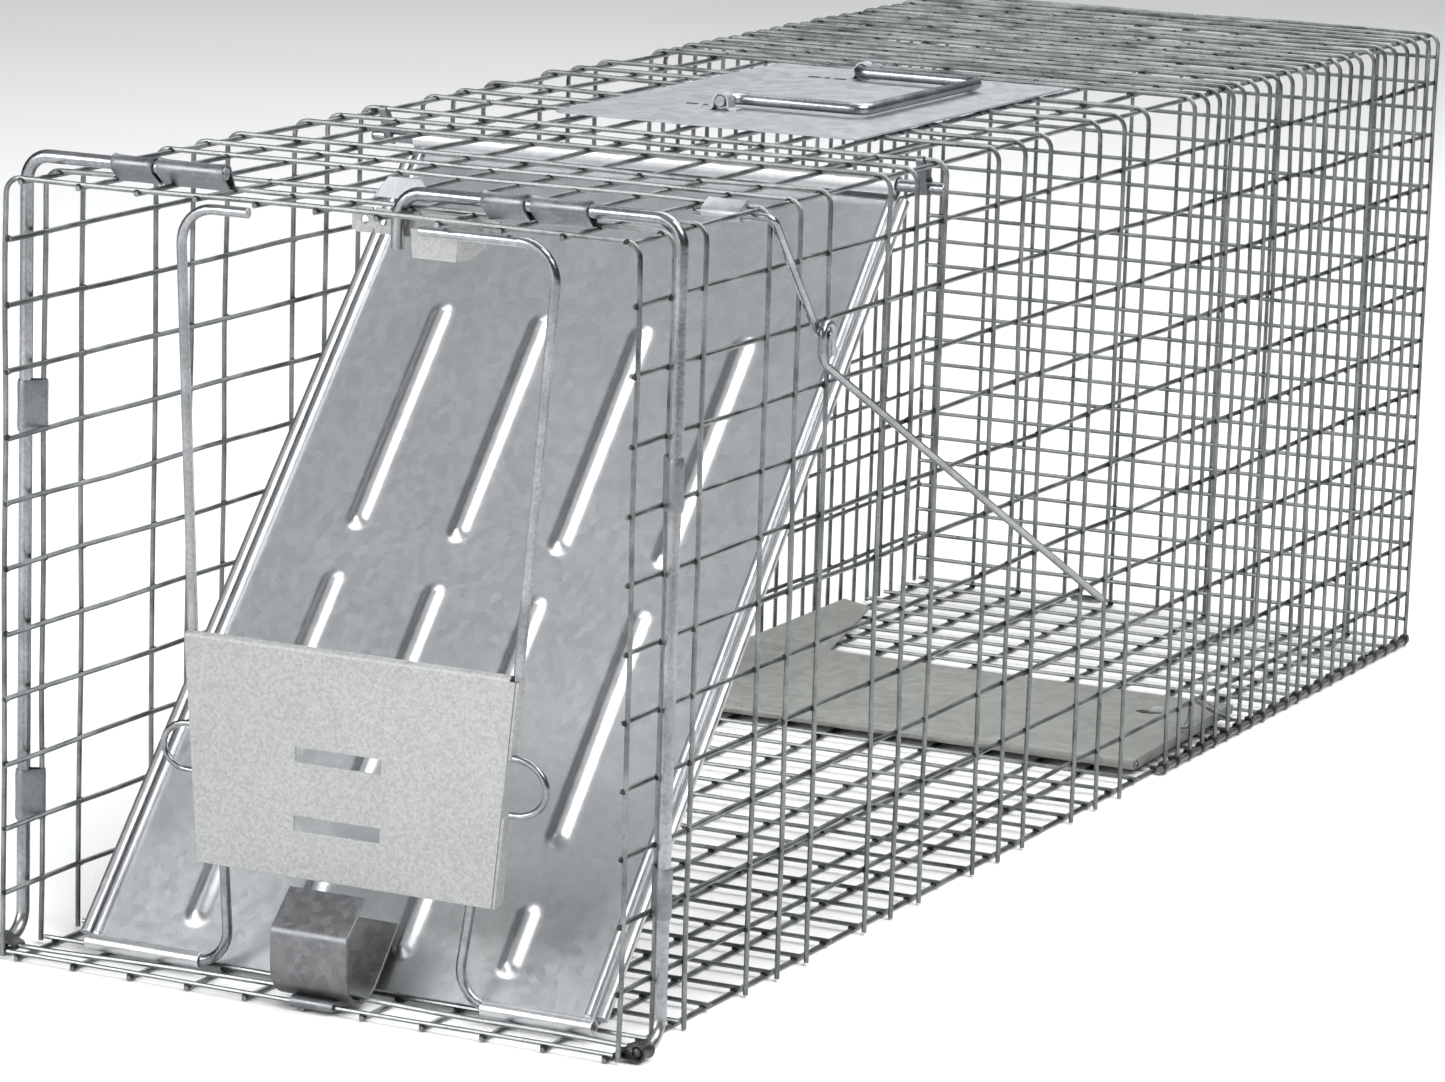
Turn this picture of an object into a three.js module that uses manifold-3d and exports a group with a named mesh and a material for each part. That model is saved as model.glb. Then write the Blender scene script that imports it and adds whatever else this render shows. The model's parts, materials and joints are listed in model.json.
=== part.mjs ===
// Live catch trap: a long cage of welded wire mesh with one sloped sheet door at the front,
// a lock bail hinged on the door's bottom edge, a treadle pan on the floor, a trip rod outside the
// right wall, and a folding carry handle on a guard plate on the roof.
// Millimetres. +Z is up, +Y runs from the front (door) to the back, X = 0 is the middle.

import * as THREE from 'three';
import { mergeVertices } from 'three/addons/utils/BufferGeometryUtils.js';
import Module from 'manifold-3d';

const wasm = await Module();
wasm.setup();

// ---------------------------------------------------------------- driving dimensions

const CAGE_WIDTH = 269.4;
const CAGE_HEIGHT = 305;
const HOOP_PITCH = 26.49;
const REAR_PITCH = 15.16;
const REAR_SPACES = 21;
const WIRE = 2;
const GAP = 0.3;
const FRONT_Y = -423.13;
const SHEET = 1;

// Only every few wires of the mesh are made, so that no opening is wider than 80 mm.
const HOOPS_WIDE = [0, 1, 4, 6, 9, 12, 14, 17, 20];
const HOOPS_DENSE = [4, 8, 12, 16, REAR_SPACES];
const ROOF_WIRES = [-75.7, 1, 77.8];
const SIDE_WIRES = [76.2, 152.4, 228.6];

const FRAME_ROD_RADIUS = 2.6;
const FRAME_Y = 22;
const FRAME_X = 139.3;
const FRAME_TOP = 309.8;
const FRAME_FOOT = 4.2;
const CLIP_INNER = FRAME_ROD_RADIUS + GAP;
const CLIP_OUTER = 3.9;
const FRAME_BEND = 10;
const FRAME_TOE_Y = 3;
const FRAME_LEFT_END_X = -51;
const FRAME_CATCH_X = 22.2;
const FRAME_CATCH_Z = 288.5;
// Each roof clip: left end and length. Each wall clip: X, bottom end and length.
const ROOF_CLIPS = {
  left_outer: [-100, 18],
  left_inner: [-80, 29],
  right_inner: [58.5, 17.5],
  right_outer: [79, 23],
};
const WALL_CLIPS = {
  left_upper: [-FRAME_X, 203, 20],
  left_lower: [-FRAME_X, 50, 20],
  right_upper: [FRAME_X, 203, 20],
  right_lower: [FRAME_X, 51, 19],
};
const FOOT_CLIP_LENGTH = 8;

const CLIP_SHEET = 1.2;
const CATCH_OUTLINE = [
  [2, 302.2], [2, 294.6], [27, 294.6], [27, 286.5],
  [47, 286.5], [61, 294.6], [63, 302.2],
];
const CATCH_HOLES_X = [8, 16, 56];
const CATCH_HOLE_Z = 298.4;
const CATCH_HOLE_RADIUS = 1.8;
const LUG_OUTLINE = [[7, 305.4], [32, 305.4], [27, 313.4], [13, 313.4]];
const FLOOR_CLIP = [-4, GAP, 14, 5.5];

const HINGE_Y = 271.8;
const HINGE_Z = 292.1;
const HINGE_ROD_RADIUS = 2.6;
const SLEEVE_Y = 20.3;
const SLEEVE_Z = 5.9;
const DOOR_LENGTH = Math.hypot(HINGE_Y - SLEEVE_Y, HINGE_Z - SLEEVE_Z);
const DOOR_SLOPE = Math.atan2(HINGE_Z - SLEEVE_Z, HINGE_Y - SLEEVE_Y);
const DOOR_HALF = 110;
const DOOR_HEM_RADIUS = 2.5;
const DOOR_CURL = 3.9;
const HINGE_CLIP_X = 122.5;
const HINGE_CLIP_LENGTH = 6;
// Each rolled sleeve on the door's bottom edge: left end and length.
const DOOR_SLEEVES = { left: [-108, 51], right: [66, 47] };
const TAB_LEFT_X = -13;
const TAB_WIDTH = 33;

const BAIL_RADIUS = 2;
const BAIL_LEAN = THREE.MathUtils.degToRad(3);
const BAIL_TOP = 291.8;
const SLEEVE_INNER = BAIL_RADIUS + GAP;
const SLEEVE_OUTER = 3.1;

// Lock bail outlines in (X, Z) from the bail's pivot.
const BAIL_BEND = 10;
const BAIL_LEFT = [[-106, 0], [-44.5, 0], [-47, 70], [-58, 125], [-60.5, BAIL_TOP], [-31, BAIL_TOP]];
const BAIL_RIGHT = [[111, 0], [54, 0], [62, 45], [81, 125], [98.5, BAIL_TOP], [41, BAIL_TOP]];
const PLATE_OUTLINE = [[-56, 42], [74.5, 42], [84, 129], [-60, 129]];
const PLATE_SLOTS = [[-12, 86, 25, 92], [-13, 59, 24, 65]];
const LOOP_RADIUS = 1.4;
const LOOP_LEFT = [[-59.6, 94.5], [-71.5, 94.5], [-71.5, 76], [-58.6, 76]];
const LOOP_RIGHT = [[81.4, 99], [92.5, 99], [92.5, 78], [79, 78]];

const GUARD_PLATE = [-57.5, 292, 82.2, 508];
const HANDLE_RADIUS = 2.5;
const HANDLE_X = -2.5;
const HANDLE_Z = 310.2;
const HANDLE_LEGS = [350, 469.3];
const HANDLE_REACH = 60.5;
const HANDLE_STUB = 14;
const BRACKET_WIDTH = 6;

const TRIP_RADIUS = 1.6;
const CRANK_Y = 101.6;
const CRANK_Z = 300.8;
const CRANK_X = 136.9;
const CRANK_START_X = 104;
const CRANK_PIN_X = 142.7;
const CRANK_CLIP_X = 108;
const CRANK_CLIP_LENGTH = 16;
const TRIP_X = 140.8;
const EYE_Y = 144;
const EYE_Z = 251.5;
const EYE_INNER = TRIP_RADIUS + 0.5;
const EYE_WALL = 3;
const EYE_LENGTH = 3;
const TRIP_END_Y = 432.3;
const TRIP_END_Z = 97.5;
const TRIP_TIP_X = 126;

const PAN_HINGE_Y = 515.6;
const PAN_HINGE_Z = 6;
const PAN_LENGTH = 119.4;
const PAN_HALF = 125;
const PAN_RISE = THREE.MathUtils.degToRad(1.2);
const PAN_PIN_RADIUS = 1.5;
const PAN_CURL = 2.4;
const LEVER_RADIUS = 1.4;
const LEVER_ROUTE = [[122, 58, 5], [128, 58, 5], [128, 60, 18.5], [128, 108, -2.5]];
const EDGE_STRIP = [640, WIRE + 0.4, 790, 14];

// ---------------------------------------------------------------- materials

function finish(color, roughness, metalness) {
  return new THREE.MeshStandardMaterial({ color, roughness, metalness });
}

const meshWire = () => finish(0xa9adad, 0.38, 0.85);
const steelRod = () => finish(0x8f9494, 0.36, 0.85);
const brightSheet = () => finish(0xb9bdbd, 0.32, 0.85);
const dullSheet = () => finish(0xb3b4ac, 0.62, 0.6);
const clipSteel = () => finish(0x7d8388, 0.45, 0.85);

// ---------------------------------------------------------------- geometry helpers

const trap = new THREE.Group();
trap.position.y = FRONT_Y;

function addPiece(parent, name, geometry, material) {
  const mesh = new THREE.Mesh(geometry, material);
  mesh.name = name;
  parent.add(mesh);
  return mesh;
}

// A rod's centre line: straight runs joined by round bends, sampled only where it turns.
class RodPath extends THREE.Curve {
  constructor(corners, bend, bendSteps = 4) {
    super();
    const points = corners.map((corner) => new THREE.Vector3(...corner));
    this.stations = [points[0]];
    for (let i = 1; i < points.length - 1; i += 1) {
      this.addBend(points[i - 1], points[i], points[i + 1], bend, bendSteps);
    }
    this.stations.push(points[points.length - 1]);
  }

  addBend(before, corner, after, bend, bendSteps) {
    const inward = before.clone().sub(corner).normalize();
    const outward = after.clone().sub(corner).normalize();
    const half = inward.angleTo(outward) / 2;
    const reach = bend / Math.tan(half);
    const centre = inward.clone().add(outward).normalize().multiplyScalar(bend / Math.sin(half)).add(corner);
    const start = inward.clone().multiplyScalar(reach).add(corner).sub(centre);
    const end = outward.clone().multiplyScalar(reach).add(corner).sub(centre);
    const turn = start.angleTo(end);
    const axis = start.clone().cross(end).normalize();
    for (let step = 0; step <= bendSteps; step += 1) {
      const spoke = start.clone().applyAxisAngle(axis, (turn * step) / bendSteps);
      this.stations.push(spoke.add(centre));
    }
  }

  get steps() {
    return this.stations.length - 1;
  }

  getPoint(t) {
    return this.stations[Math.round(t * this.steps)].clone();
  }

  getPointAt(u) {
    return this.getPoint(u);
  }

  getTangent(t) {
    const index = Math.round(t * this.steps);
    const here = this.stations[index];
    const before = this.stations[Math.max(index - 1, 0)];
    const after = this.stations[Math.min(index + 1, this.steps)];
    const tangent = new THREE.Vector3();
    if (index > 0) tangent.add(here.clone().sub(before).normalize());
    if (index < this.steps) tangent.add(after.clone().sub(here).normalize());
    return tangent.normalize();
  }

  getTangentAt(u) {
    return this.getTangent(u);
  }
}

function regularSection(radius, sides = 8) {
  const section = new THREE.Shape();
  for (let i = 0; i < sides; i += 1) {
    const angle = (2 * Math.PI * (i + 0.5)) / sides;
    const x = radius * Math.cos(angle);
    const y = radius * Math.sin(angle);
    if (i === 0) section.moveTo(x, y);
    else section.lineTo(x, y);
  }
  section.closePath();
  return section;
}

function rod(corners, radius, bend = 8, bendSteps = 4, sides = 8) {
  const path = new RodPath(corners, bend, bendSteps);
  const section = regularSection(radius, sides);
  return new THREE.ExtrudeGeometry(section, { steps: path.steps, extrudePath: path, bevelEnabled: false });
}

// A hollow sleeve along local Z, from z = 0 to z = length.
function sleeve(inner, outer, length, sides = 12) {
  const profile = [[inner, 0], [outer, 0], [outer, length], [inner, length], [inner, 0]];
  const points = profile.map(([r, z]) => new THREE.Vector2(r, z));
  return new THREE.LatheGeometry(points, sides).rotateX(Math.PI / 2);
}

// Outline of a bent strip of sheet of even thickness, from its centre line.
function ribbon(line, thickness) {
  const left = [];
  const right = [];
  line.forEach((point, i) => {
    const before = line[Math.max(i - 1, 0)];
    const after = line[Math.min(i + 1, line.length - 1)];
    const normal = after.clone().sub(before).normalize();
    normal.set(-normal.y, normal.x).multiplyScalar(thickness / 2);
    left.push(point.clone().add(normal));
    right.push(point.clone().sub(normal));
  });
  return new THREE.Shape([...left, ...right.reverse()]);
}

function arcLine(centreX, centreY, radius, from, to, steps) {
  const points = [];
  for (let i = 0; i <= steps; i += 1) {
    const angle = THREE.MathUtils.degToRad(from + ((to - from) * i) / steps);
    points.push(new THREE.Vector2(centreX + radius * Math.cos(angle), centreY + radius * Math.sin(angle)));
  }
  return points;
}

function slab(shape, depth) {
  return new THREE.ExtrudeGeometry(shape, { depth, bevelEnabled: false, curveSegments: 6 });
}

// Turns a shape drawn in (Y, Z) and extruded by depth into a solid from x = x0 to x = x0 + depth.
function alongX(shape, x0, depth) {
  return slab(shape, depth).rotateX(Math.PI / 2).rotateZ(Math.PI / 2).translate(x0, 0, 0);
}

// Turns a shape drawn in (X, Z) and extruded by depth into a solid from y = y0 to y = y0 + depth.
function alongY(shape, y0, depth) {
  return slab(shape, depth).rotateX(Math.PI / 2).translate(0, y0 + depth, 0);
}

function polygon(corners, Kind = THREE.Shape) {
  return new Kind(corners.map(([x, y]) => new THREE.Vector2(x, y)));
}

function rectangle(x0, y0, x1, y1, Kind = THREE.Shape) {
  return polygon([[x0, y0], [x1, y0], [x1, y1], [x0, y1]], Kind);
}

function toSolid(geometry) {
  const bare = geometry.clone();
  bare.deleteAttribute('normal');
  bare.deleteAttribute('uv');
  const merged = mergeVertices(bare, 1e-4);
  const vertProperties = new Float32Array(merged.attributes.position.array);
  const triVerts = new Uint32Array(merged.index.array);
  return new wasm.Manifold(new wasm.Mesh({ numProp: 3, vertProperties, triVerts }));
}

function toGeometry(solid) {
  const mesh = solid.getMesh();
  const geometry = new THREE.BufferGeometry();
  geometry.setAttribute('position', new THREE.BufferAttribute(mesh.vertProperties, 3));
  geometry.setIndex(new THREE.BufferAttribute(mesh.triVerts, 1));
  geometry.computeVertexNormals();
  return geometry;
}

function box(low, high) {
  const size = high.map((value, i) => value - low[i]);
  const middle = high.map((value, i) => (value + low[i]) / 2);
  return new THREE.BoxGeometry(...size).translate(...middle);
}

// A flat grille lying in XY, one wire thick: bars at the given centres both ways.
function grille(across, along) {
  const half = WIRE / 2;
  const last = (list) => list[list.length - 1];
  const start = [across[0] - half, along[0] - half, 0];
  const end = [last(across) + half, last(along) + half, WIRE];
  let solid = toSolid(box(start, end));
  for (let i = 0; i < across.length - 1; i += 1) {
    for (let j = 0; j < along.length - 1; j += 1) {
      const low = [across[i] + half, along[j] + half, -1];
      const high = [across[i + 1] - half, along[j + 1] - half, WIRE + 1];
      solid = solid.subtract(toSolid(box(low, high)));
    }
  }
  return toGeometry(solid);
}

// ---------------------------------------------------------------- cage of welded mesh

const denseStart = HOOPS_WIDE[HOOPS_WIDE.length - 1] * HOOP_PITCH;
const hoops = [
  ...HOOPS_WIDE.map((k) => k * HOOP_PITCH),
  ...HOOPS_DENSE.map((k) => denseStart + k * REAR_PITCH),
];
const cageBack = hoops[hoops.length - 1];
const wallX = CAGE_WIDTH / 2;
const panelX = wallX - WIRE - GAP;
const insideHoops = [...hoops.slice(0, -1), cageBack - WIRE - GAP];

function addCage() {
  const wallRows = [WIRE / 2, ...SIDE_WIRES, CAGE_HEIGHT - WIRE / 2];
  const wall = () => grille(hoops, wallRows).rotateX(Math.PI / 2).rotateZ(Math.PI / 2);
  addPiece(trap, 'cage_left_wall', wall().translate(-wallX, 0, 0), meshWire());
  addPiece(trap, 'cage_right_wall', wall().translate(wallX - WIRE, 0, 0), meshWire());

  const columns = [-panelX + WIRE / 2, ...ROOF_WIRES, panelX - WIRE / 2];
  addPiece(trap, 'cage_roof', grille(columns, insideHoops).translate(0, 0, CAGE_HEIGHT - WIRE), meshWire());
  addPiece(trap, 'cage_floor', grille(columns, insideHoops), meshWire());
  const rear = grille(columns, wallRows).rotateX(Math.PI / 2).translate(0, cageBack + WIRE / 2, 0);
  addPiece(trap, 'cage_rear_panel', rear, meshWire());

  const strip = rectangle(...EDGE_STRIP);
  addPiece(trap, 'floor_edge_strip', alongX(strip, -panelX + 0.2, SHEET), dullSheet());
}

// ---------------------------------------------------------------- front frame rods and their clips

function addFrame() {
  const left = [
    [-FRAME_X, FRAME_TOE_Y, FRAME_FOOT],
    [-FRAME_X, FRAME_Y, FRAME_FOOT],
    [-FRAME_X, FRAME_Y, FRAME_TOP],
    [FRAME_LEFT_END_X, FRAME_Y, FRAME_TOP],
  ];
  const right = [
    [FRAME_X, FRAME_TOE_Y, FRAME_FOOT],
    [FRAME_X, FRAME_Y, FRAME_FOOT],
    [FRAME_X, FRAME_Y, FRAME_TOP],
    [FRAME_CATCH_X, FRAME_Y, FRAME_TOP],
    [FRAME_CATCH_X, FRAME_Y, FRAME_CATCH_Z],
  ];
  addPiece(trap, 'front_frame_left', rod(left, FRAME_ROD_RADIUS, FRAME_BEND), steelRod());
  addPiece(trap, 'front_frame_right', rod(right, FRAME_ROD_RADIUS, FRAME_BEND), steelRod());

  const clip = (name, length) => addPiece(trap, name, sleeve(CLIP_INNER, CLIP_OUTER, length), clipSteel());
  Object.entries(ROOF_CLIPS).forEach(([name, [x, length]]) => {
    const ferrule = clip(`frame_clip_roof_${name}`, length);
    ferrule.rotation.y = Math.PI / 2;
    ferrule.position.set(x, FRAME_Y, FRAME_TOP);
  });
  Object.entries(WALL_CLIPS).forEach(([name, [x, z, length]]) => {
    clip(`frame_clip_wall_${name}`, length).position.set(x, FRAME_Y, z);
  });
  [['left', -FRAME_X], ['right', FRAME_X]].forEach(([name, x]) => {
    const ferrule = clip(`frame_clip_foot_${name}`, FOOT_CLIP_LENGTH);
    ferrule.rotation.x = -Math.PI / 2;
    ferrule.position.set(x, 3.2, FRAME_FOOT);
  });
}

// ---------------------------------------------------------------- catch bracket under the roof's front edge

function addCatch() {
  const plate = polygon(CATCH_OUTLINE);
  CATCH_HOLES_X.forEach((x) => {
    const hole = new THREE.Path();
    hole.absarc(x, CATCH_HOLE_Z, CATCH_HOLE_RADIUS, 0, 2 * Math.PI);
    plate.holes.push(hole);
  });
  addPiece(trap, 'catch_bracket', alongY(plate, FRAME_Y + 4, CLIP_SHEET), clipSteel());
  addPiece(trap, 'catch_lug', alongY(polygon(LUG_OUTLINE), FRAME_Y + 8, CLIP_SHEET), clipSteel());
  const clip = rectangle(...FLOOR_CLIP);
  addPiece(trap, 'floor_catch_clip', alongY(clip, -WIRE / 2 - GAP - 1, 1), clipSteel());
}

// ---------------------------------------------------------------- guard plate and carry handle

function addHandle() {
  const plate = rectangle(...GUARD_PLATE);
  addPiece(trap, 'guard_plate', slab(plate, SHEET).translate(0, 0, CAGE_HEIGHT + GAP), dullSheet());

  const [front, rear] = HANDLE_LEGS;
  const loop = [[0, front - HANDLE_STUB, 0], [0, front, 0], [HANDLE_REACH, front, 0]];
  loop.push([HANDLE_REACH, rear, 0], [0, rear, 0], [0, rear + HANDLE_STUB, 0]);
  const handle = addPiece(trap, 'carry_handle', rod(loop, HANDLE_RADIUS, 7), steelRod());
  handle.position.set(HANDLE_X, 0, HANDLE_Z);

  const plateTop = CAGE_HEIGHT + GAP + SHEET;
  const footZ = plateTop + GAP + 0.4 - HANDLE_Z;
  const arch = arcLine(0, 0, 3.4, 180, 0, 8);
  const line = [new THREE.Vector2(-10, footZ), new THREE.Vector2(-4.3, footZ), ...arch];
  line.push(new THREE.Vector2(4.3, footZ), new THREE.Vector2(10, footZ));
  const bracket = ribbon(line, 0.8);
  const inset = HANDLE_STUB - 1;
  [['front', front - inset], ['rear', rear + inset - BRACKET_WIDTH]].forEach(([name, y]) => {
    const piece = addPiece(trap, `handle_bracket_${name}`, alongY(bracket, 0, BRACKET_WIDTH), dullSheet());
    piece.position.set(HANDLE_X, y, HANDLE_Z);
  });
}

// ---------------------------------------------------------------- door

const door = new THREE.Group();
door.position.set(0, HINGE_Y, HINGE_Z);
door.rotation.x = DOOR_SLOPE;

function addDoor() {
  const hingeRod = [[-panelX - 0.2, HINGE_Y, HINGE_Z], [panelX + 0.2, HINGE_Y, HINGE_Z]];
  addPiece(trap, 'door_hinge_rod', rod(hingeRod, HINGE_ROD_RADIUS, 1), steelRod());
  [['left', -1], ['right', 1]].forEach(([side, sign]) => {
    const ring = sleeve(HINGE_ROD_RADIUS + GAP, 4.2, HINGE_CLIP_LENGTH);
    const clip = addPiece(trap, `hinge_clip_${side}`, ring, clipSteel());
    clip.rotation.y = Math.PI / 2;
    clip.position.set(sign * HINGE_CLIP_X - HINGE_CLIP_LENGTH / 2, HINGE_Y, HINGE_Z);
  });

  const curl = arcLine(0, 0, DOOR_CURL, -90, 190, 14);
  const profile = ribbon([new THREE.Vector2(-DOOR_LENGTH + 2, -DOOR_CURL), ...curl], SHEET);
  addPiece(door, 'door_sheet', alongX(profile, -DOOR_HALF, 2 * DOOR_HALF), brightSheet());
  [['left', -1], ['right', 1]].forEach(([side, sign]) => {
    const x = sign * (DOOR_HALF + GAP + DOOR_HEM_RADIUS);
    const hem = rod([[x, -14, -DOOR_CURL], [x, -DOOR_LENGTH + 5, -DOOR_CURL]], DOOR_HEM_RADIUS, 1);
    addPiece(door, `door_edge_${side}`, hem, brightSheet());
  });
  Object.entries(DOOR_SLEEVES).forEach(([side, [x, length]]) => {
    const ring = sleeve(SLEEVE_INNER, SLEEVE_OUTER, length);
    const tube = addPiece(door, `door_sleeve_${side}`, ring, brightSheet());
    tube.rotation.y = Math.PI / 2;
    tube.position.set(x, -DOOR_LENGTH, 0);
  });

  const tongue = new THREE.Group();
  tongue.position.set(0, -DOOR_LENGTH, 0);
  tongue.rotation.x = -DOOR_SLOPE;
  door.add(tongue);
  const bottom = arcLine(-9.6, 10.4, 12.8, -45, -180, 9);
  const backTop = new THREE.Vector2(17.5, 21.8);
  const front = [new THREE.Vector2(-22.5, 24), new THREE.Vector2(-10, 37)];
  const finger = ribbon([backTop, ...bottom, ...front], 1.2);
  addPiece(tongue, 'door_finger_tab', alongX(finger, TAB_LEFT_X, TAB_WIDTH), dullSheet());
}

// ---------------------------------------------------------------- lock bail

const bail = new THREE.Group();
bail.position.set(0, SLEEVE_Y, SLEEVE_Z);
bail.rotation.x = BAIL_LEAN;

function addBail() {
  const atDepth = (corners, y) => corners.map(([x, z]) => [x, y, z]);
  addPiece(bail, 'lock_leg_left', rod(atDepth(BAIL_LEFT, 0), BAIL_RADIUS, BAIL_BEND), steelRod());
  addPiece(bail, 'lock_leg_right', rod(atDepth(BAIL_RIGHT, 0), BAIL_RADIUS, BAIL_BEND), steelRod());

  const plate = polygon(PLATE_OUTLINE);
  PLATE_SLOTS.forEach((slot) => plate.holes.push(rectangle(...slot, THREE.Path)));
  const plateY = -BAIL_RADIUS - GAP - CLIP_SHEET;
  addPiece(bail, 'lock_plate', alongY(plate, plateY, CLIP_SHEET), dullSheet());

  const loopY = -BAIL_RADIUS - GAP - CLIP_SHEET / 2;
  addPiece(bail, 'lock_loop_left', rod(atDepth(LOOP_LEFT, loopY), LOOP_RADIUS, 7), steelRod());
  addPiece(bail, 'lock_loop_right', rod(atDepth(LOOP_RIGHT, loopY), LOOP_RADIUS, 7), steelRod());
}

// ---------------------------------------------------------------- trip linkage outside the right wall

function addTrip() {
  const crank = [
    [CRANK_START_X, CRANK_Y, CRANK_Z],
    [CRANK_X, CRANK_Y, CRANK_Z],
    [CRANK_X, EYE_Y, EYE_Z],
    [CRANK_PIN_X, EYE_Y, EYE_Z],
  ];
  addPiece(trap, 'latch_crank', rod(crank, TRIP_RADIUS, 2.6), steelRod());
  const clip = addPiece(trap, 'crank_clip', sleeve(TRIP_RADIUS + GAP, 3, CRANK_CLIP_LENGTH), clipSteel());
  clip.rotation.y = Math.PI / 2;
  clip.position.set(CRANK_CLIP_X, CRANK_Y, CRANK_Z);

  const eyeOuter = EYE_INNER + EYE_WALL;
  const eye = addPiece(trap, 'trip_rod_eye', sleeve(EYE_INNER, eyeOuter, EYE_LENGTH), steelRod());
  eye.rotation.y = Math.PI / 2;
  eye.position.set(TRIP_X - EYE_LENGTH / 2, EYE_Y, EYE_Z);
  const aim = new THREE.Vector2(TRIP_END_Y - EYE_Y, TRIP_END_Z - EYE_Z).normalize();
  const start = eyeOuter + GAP;
  const tripRod = [
    [TRIP_X, EYE_Y + aim.x * start, EYE_Z + aim.y * start],
    [TRIP_X, TRIP_END_Y, TRIP_END_Z],
    [TRIP_TIP_X, TRIP_END_Y, TRIP_END_Z],
  ];
  addPiece(trap, 'trip_rod', rod(tripRod, TRIP_RADIUS, 4), steelRod());
}

// ---------------------------------------------------------------- treadle pan

const pan = new THREE.Group();
pan.position.set(0, PAN_HINGE_Y, PAN_HINGE_Z);
pan.rotation.x = PAN_RISE;

function addPan() {
  const pin = [[-panelX - 0.2, PAN_HINGE_Y, PAN_HINGE_Z], [panelX + 0.2, PAN_HINGE_Y, PAN_HINGE_Z]];
  addPiece(trap, 'pan_hinge_rod', rod(pin, PAN_PIN_RADIUS, 1), steelRod());
  const curl = arcLine(0, 0, PAN_CURL, 90, -170, 12).map((p) => new THREE.Vector2(-p.x, p.y)).reverse();
  const profile = ribbon([...curl, new THREE.Vector2(PAN_LENGTH, PAN_CURL)], SHEET);
  addPiece(pan, 'trip_pan', alongX(profile, -PAN_HALF, 2 * PAN_HALF), dullSheet());
  addPiece(pan, 'pan_lever', rod(LEVER_ROUTE, LEVER_RADIUS, 2.4), steelRod());
}

trap.add(door, bail, pan);
addCage();
addFrame();
addCatch();
addHandle();
addDoor();
addBail();
addTrip();
addPan();

export default trap;
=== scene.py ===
"""Live catch trap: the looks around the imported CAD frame. Metres, +Z up, the door end towards -Y."""

import json
import math

import bpy
from mathutils import Matrix, Vector, noise


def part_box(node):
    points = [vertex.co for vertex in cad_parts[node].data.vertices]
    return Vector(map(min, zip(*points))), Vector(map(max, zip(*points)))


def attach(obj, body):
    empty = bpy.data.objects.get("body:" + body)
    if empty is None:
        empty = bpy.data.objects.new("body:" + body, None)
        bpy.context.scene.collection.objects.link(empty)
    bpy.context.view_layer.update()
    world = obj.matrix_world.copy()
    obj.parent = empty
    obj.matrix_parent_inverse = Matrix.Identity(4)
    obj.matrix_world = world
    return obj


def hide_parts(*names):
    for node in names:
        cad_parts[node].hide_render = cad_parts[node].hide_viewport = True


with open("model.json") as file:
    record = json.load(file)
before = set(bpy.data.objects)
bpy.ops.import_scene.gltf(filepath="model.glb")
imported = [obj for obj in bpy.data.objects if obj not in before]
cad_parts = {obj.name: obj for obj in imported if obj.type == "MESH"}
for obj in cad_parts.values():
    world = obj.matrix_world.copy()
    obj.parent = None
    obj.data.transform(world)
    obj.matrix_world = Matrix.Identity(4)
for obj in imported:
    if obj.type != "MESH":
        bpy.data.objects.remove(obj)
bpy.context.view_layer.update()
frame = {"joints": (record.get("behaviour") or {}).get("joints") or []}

MM = 0.001
INCH = 0.0254


# ------------ camera, solved for the 1445 x 1082 view

CAMERA_PLACE = (46.448, -70.544, 23.752)  # inches, from the front hoop's lower left corner
CAMERA_YAW = math.radians(26.064)
CAMERA_PITCH = math.radians(11.439)
CAMERA_ROLL = math.radians(1.746)
FOCAL_IN_WIDTHS = 5716.66 / 1445
CAGE_WIDTH_IN = 10.53

wall_low, wall_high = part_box("cage_left_wall")
right_low, right_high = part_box("cage_right_wall")
WIRE = wall_high.x - wall_low.x
WIRE_R = 0.52 * WIRE
WALL_X = right_high.x - WIRE / 2
FRONT_Y = wall_low.y + WIRE / 2
BACK_Y = wall_high.y - WIRE / 2
ROOF_Z = wall_high.z - WIRE / 2
FLOOR_Z = wall_low.z + WIRE / 2


def make_camera():
    data = bpy.data.cameras.new("camera")
    data.sensor_fit = "HORIZONTAL"
    data.sensor_width = 36.0
    data.lens = 36.0 * FOCAL_IN_WIDTHS
    data.clip_end = 50.0
    camera = bpy.data.objects.new("camera", data)
    bpy.context.scene.collection.objects.link(camera)
    sin_y, cos_y = math.sin(CAMERA_YAW), math.cos(CAMERA_YAW)
    sin_p, cos_p = math.sin(CAMERA_PITCH), math.cos(CAMERA_PITCH)
    forward = Vector((-sin_y * cos_p, cos_y * cos_p, -sin_p))
    right = Vector((cos_y, sin_y, 0.0))
    up = right.cross(forward)
    turned_right = right * math.cos(CAMERA_ROLL) + up * math.sin(CAMERA_ROLL)
    turned_up = up * math.cos(CAMERA_ROLL) - right * math.sin(CAMERA_ROLL)
    x, y, z = CAMERA_PLACE
    place = Vector(((x - CAGE_WIDTH_IN / 2) * INCH, y * INCH + FRONT_Y, z * INCH))
    turn = Matrix((turned_right, turned_up, -forward)).transposed().to_4x4()
    camera.matrix_world = Matrix.Translation(place) @ turn
    bpy.context.scene.camera = camera


# ------------ materials

def new_material(name, metallic, roughness, base):
    material = bpy.data.materials.new(name)
    material.use_nodes = True
    nodes = material.node_tree.nodes
    shader = nodes["Principled BSDF"]
    shader.inputs["Metallic"].default_value = metallic
    shader.inputs["Roughness"].default_value = roughness
    shader.inputs["Base Color"].default_value = (*base, 1.0)
    return material, nodes, material.node_tree.links, shader


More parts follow.
